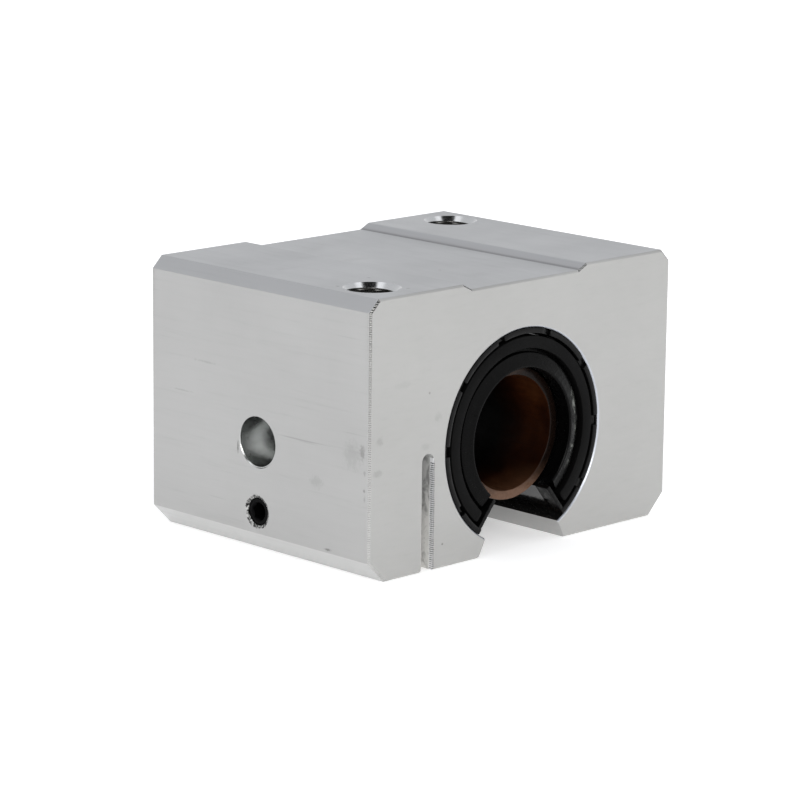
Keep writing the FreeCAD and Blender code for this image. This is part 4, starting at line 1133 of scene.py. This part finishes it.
# --------------------------------------------------------------------------
# brown sleeve left in the bore until the shaft goes in
# --------------------------------------------------------------------------
def build_sleeve():
    ro, ri, y0, y1 = 12.42, 10.70, -25.6, 25.6
    prof = round_profile([(ri, y0), (ro, y0), (ro, y1), (ri, y1)], [0.22, 0.18, 0.18, 0.22], 4)
    rows = []
    for (r, y), (r2, y2) in zip(prof, prof[1:] + prof[:1]):
        rows.append((r, y))
        if abs(y2 - y) > 5:
            for q in range(1, 24):
                rows.append((r + (r2 - r) * q / 24, y + (y2 - y) * q / 24))
    segs = 144
    verts, faces = [], []
    n = len(rows)
    for k in range(segs):
        t = 2 * math.pi * k / segs
        for r, y in rows:
            d = noise.noise(Vector((math.cos(t) * 2.1, y * 0.05, math.sin(t) * 2.1))) * 0.07
            end = noise.noise(Vector((math.cos(t) * 5.0 + 9.0, 0.3, math.sin(t) * 5.0))) * 0.10 if abs(y) > 25.0 else 0.0
            rr = r + (d if r < 11.5 else min(0.0, d))
            verts.append((rr * math.cos(t), y + end * (1 if y > 0 else -1) * -1, rr * math.sin(t)))
    for k in range(segs):
        k2 = (k + 1) % segs
        for i in range(n):
            j = (i + 1) % n
            faces.append((k * n + i, k * n + j, k2 * n + j, k2 * n + i))
    ob = make_object("bore_sleeve", verts, faces)
    clean(ob)
    return ob


sleeve = build_sleeve()
sleeve.data.materials.append(MAT_SLEEVE)
sleeve.data.materials.append(MAT_RIM)
for p in sleeve.data.polygons:
    p.material_index = 1 if abs(p.normal.y) > 0.6 else 0
smooth(sleeve, 40.0)
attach(sleeve, "housing")

# --------------------------------------------------------------------------
# floor, world and lights
# --------------------------------------------------------------------------
FLOOR_Z = BASE * MM


def build_floor():
    verts, faces = [(0, 0, 0)], []
    rings_r = [0.3, 0.8, 1.6, 3.0]
    segs = 96
    for r in rings_r:
        for i in range(segs):
            t = 2 * math.pi * i / segs
            verts.append((r * math.cos(t), r * math.sin(t), 0))
    for i in range(segs):
        j = (i + 1) % segs
        faces.append((0, 1 + i, 1 + j))
        for k in range(len(rings_r) - 1):
            a, b = 1 + k * segs, 1 + (k + 1) * segs
            faces.append((a + i, b + i, b + j, a + j))
    ob = make_object("floor", verts, faces, scale=1.0)
    ob.location.z = FLOOR_Z
    m = Mat("floor_white").set(Specular_IOR_Level=0.2)
    n = m.noise(m.obj(), 6.0, detail=3)
    m.color(m.ramp(n, [(0.3, (0.90, 0.90, 0.90)), (0.7, (0.92, 0.92, 0.92))]))
    m.b.inputs["Roughness"].default_value = 0.8
    m.b.inputs["Emission Color"].default_value = (1.0, 1.0, 1.0, 1.0)
    m.b.inputs["Emission Strength"].default_value = 0.40
    ob.data.materials.append(m.m)
    return ob


floor = build_floor()

world = bpy.data.worlds.new("studio")
SC.world = world
world.use_nodes = True
wt = world.node_tree
wt.nodes.clear()
wo = wt.nodes.new("ShaderNodeOutputWorld")
wb = wt.nodes.new("ShaderNodeBackground")
wc = wt.nodes.new("ShaderNodeTexCoord")
ws = wt.nodes.new("ShaderNodeSeparateXYZ")
wr = wt.nodes.new("ShaderNodeValToRGB")
wt.links.new(wc.outputs["Generated"], ws.inputs[0])
wt.links.new(ws.outputs["Z"], wr.inputs[0])
# the tent is bright at the sides and dimmer overhead
cr_ = wr.color_ramp
cr_.elements[0].position = 0.0
cr_.elements[0].color = (0.96, 0.96, 0.955, 1)
cr_.elements[1].position = 1.0
cr_.elements[1].color = (0.80, 0.81, 0.83, 1)
for pos, col in ((0.20, (0.86, 0.87, 0.885, 1)), (0.45, (0.76, 0.77, 0.79, 1)), (0.75, (0.74, 0.75, 0.77, 1))):
    e = cr_.elements.new(pos)
    e.color = col
# the opening of the tent above the camera is dark
wd = wt.nodes.new("ShaderNodeVectorMath")
wd.operation = "DOT_PRODUCT"
wt.links.new(wc.outputs["Generated"], wd.inputs[0])
wd.inputs[1].default_value = Vector((-0.21, -0.42, 0.88)).normalized()
wk = wt.nodes.new("ShaderNodeValToRGB")
wt.links.new(wd.outputs["Value"], wk.inputs[0])
wk.color_ramp.elements[0].position = 0.66
wk.color_ramp.elements[0].color = (1, 1, 1, 1)
wk.color_ramp.elements[1].position = 0.935
wk.color_ramp.elements[1].color = (0.01, 0.01, 0.01, 1)
for pos, v in ((0.76, 1.55), (0.890, 1.70), (0.908, 1.2)):
    e = wk.color_ramp.elements.new(pos)
    e.color = (v, v, v, 1)
wm = wt.nodes.new("ShaderNodeMix")
wm.data_type = "RGBA"
wm.blend_type = "MULTIPLY"
wm.inputs[0].default_value = 1.0
wt.links.new(wr.outputs[0], wm.inputs[6])
wt.links.new(wk.outputs[0], wm.inputs[7])
wt.links.new(wm.outputs[2], wb.inputs[0])
wt.links.new(wb.outputs[0], wo.inputs[0])
wb.inputs[1].default_value = 1.0


def area(name, loc, target, size, power, color=(1, 1, 1)):
    d = bpy.data.lights.new(name, "AREA")
    d.shape = "RECTANGLE"
    d.size, d.size_y = size
    d.energy = power
    d.color = color
    ob = bpy.data.objects.new(name, d)
    COLL.objects.link(ob)
    ob.location = loc
    v = (Vector(target) - Vector(loc)).normalized()
    ob.rotation_euler = v.to_track_quat("-Z", "Y").to_euler()
    return ob


area("key_front_right", (0.55, -1.1, 0.55), (0, 0, 0), (1.0, 0.8), 1.6, (1.0, 0.985, 0.96))
area("fill_camera_side", (-0.72, -1.0, 0.62), (0, 0, 0), (0.6, 0.6), 4.5, (1.0, 0.99, 0.97))
area("fill_left", (-1.2, 0.15, 0.5), (0, 0, 0), (1.0, 0.8), 1.2, (0.97, 0.985, 1.0))

SC.view_settings.view_transform = "Standard"
SC.view_settings.look = "None"
SC.view_settings.exposure = 0.0
SC.view_settings.gamma = 1.0
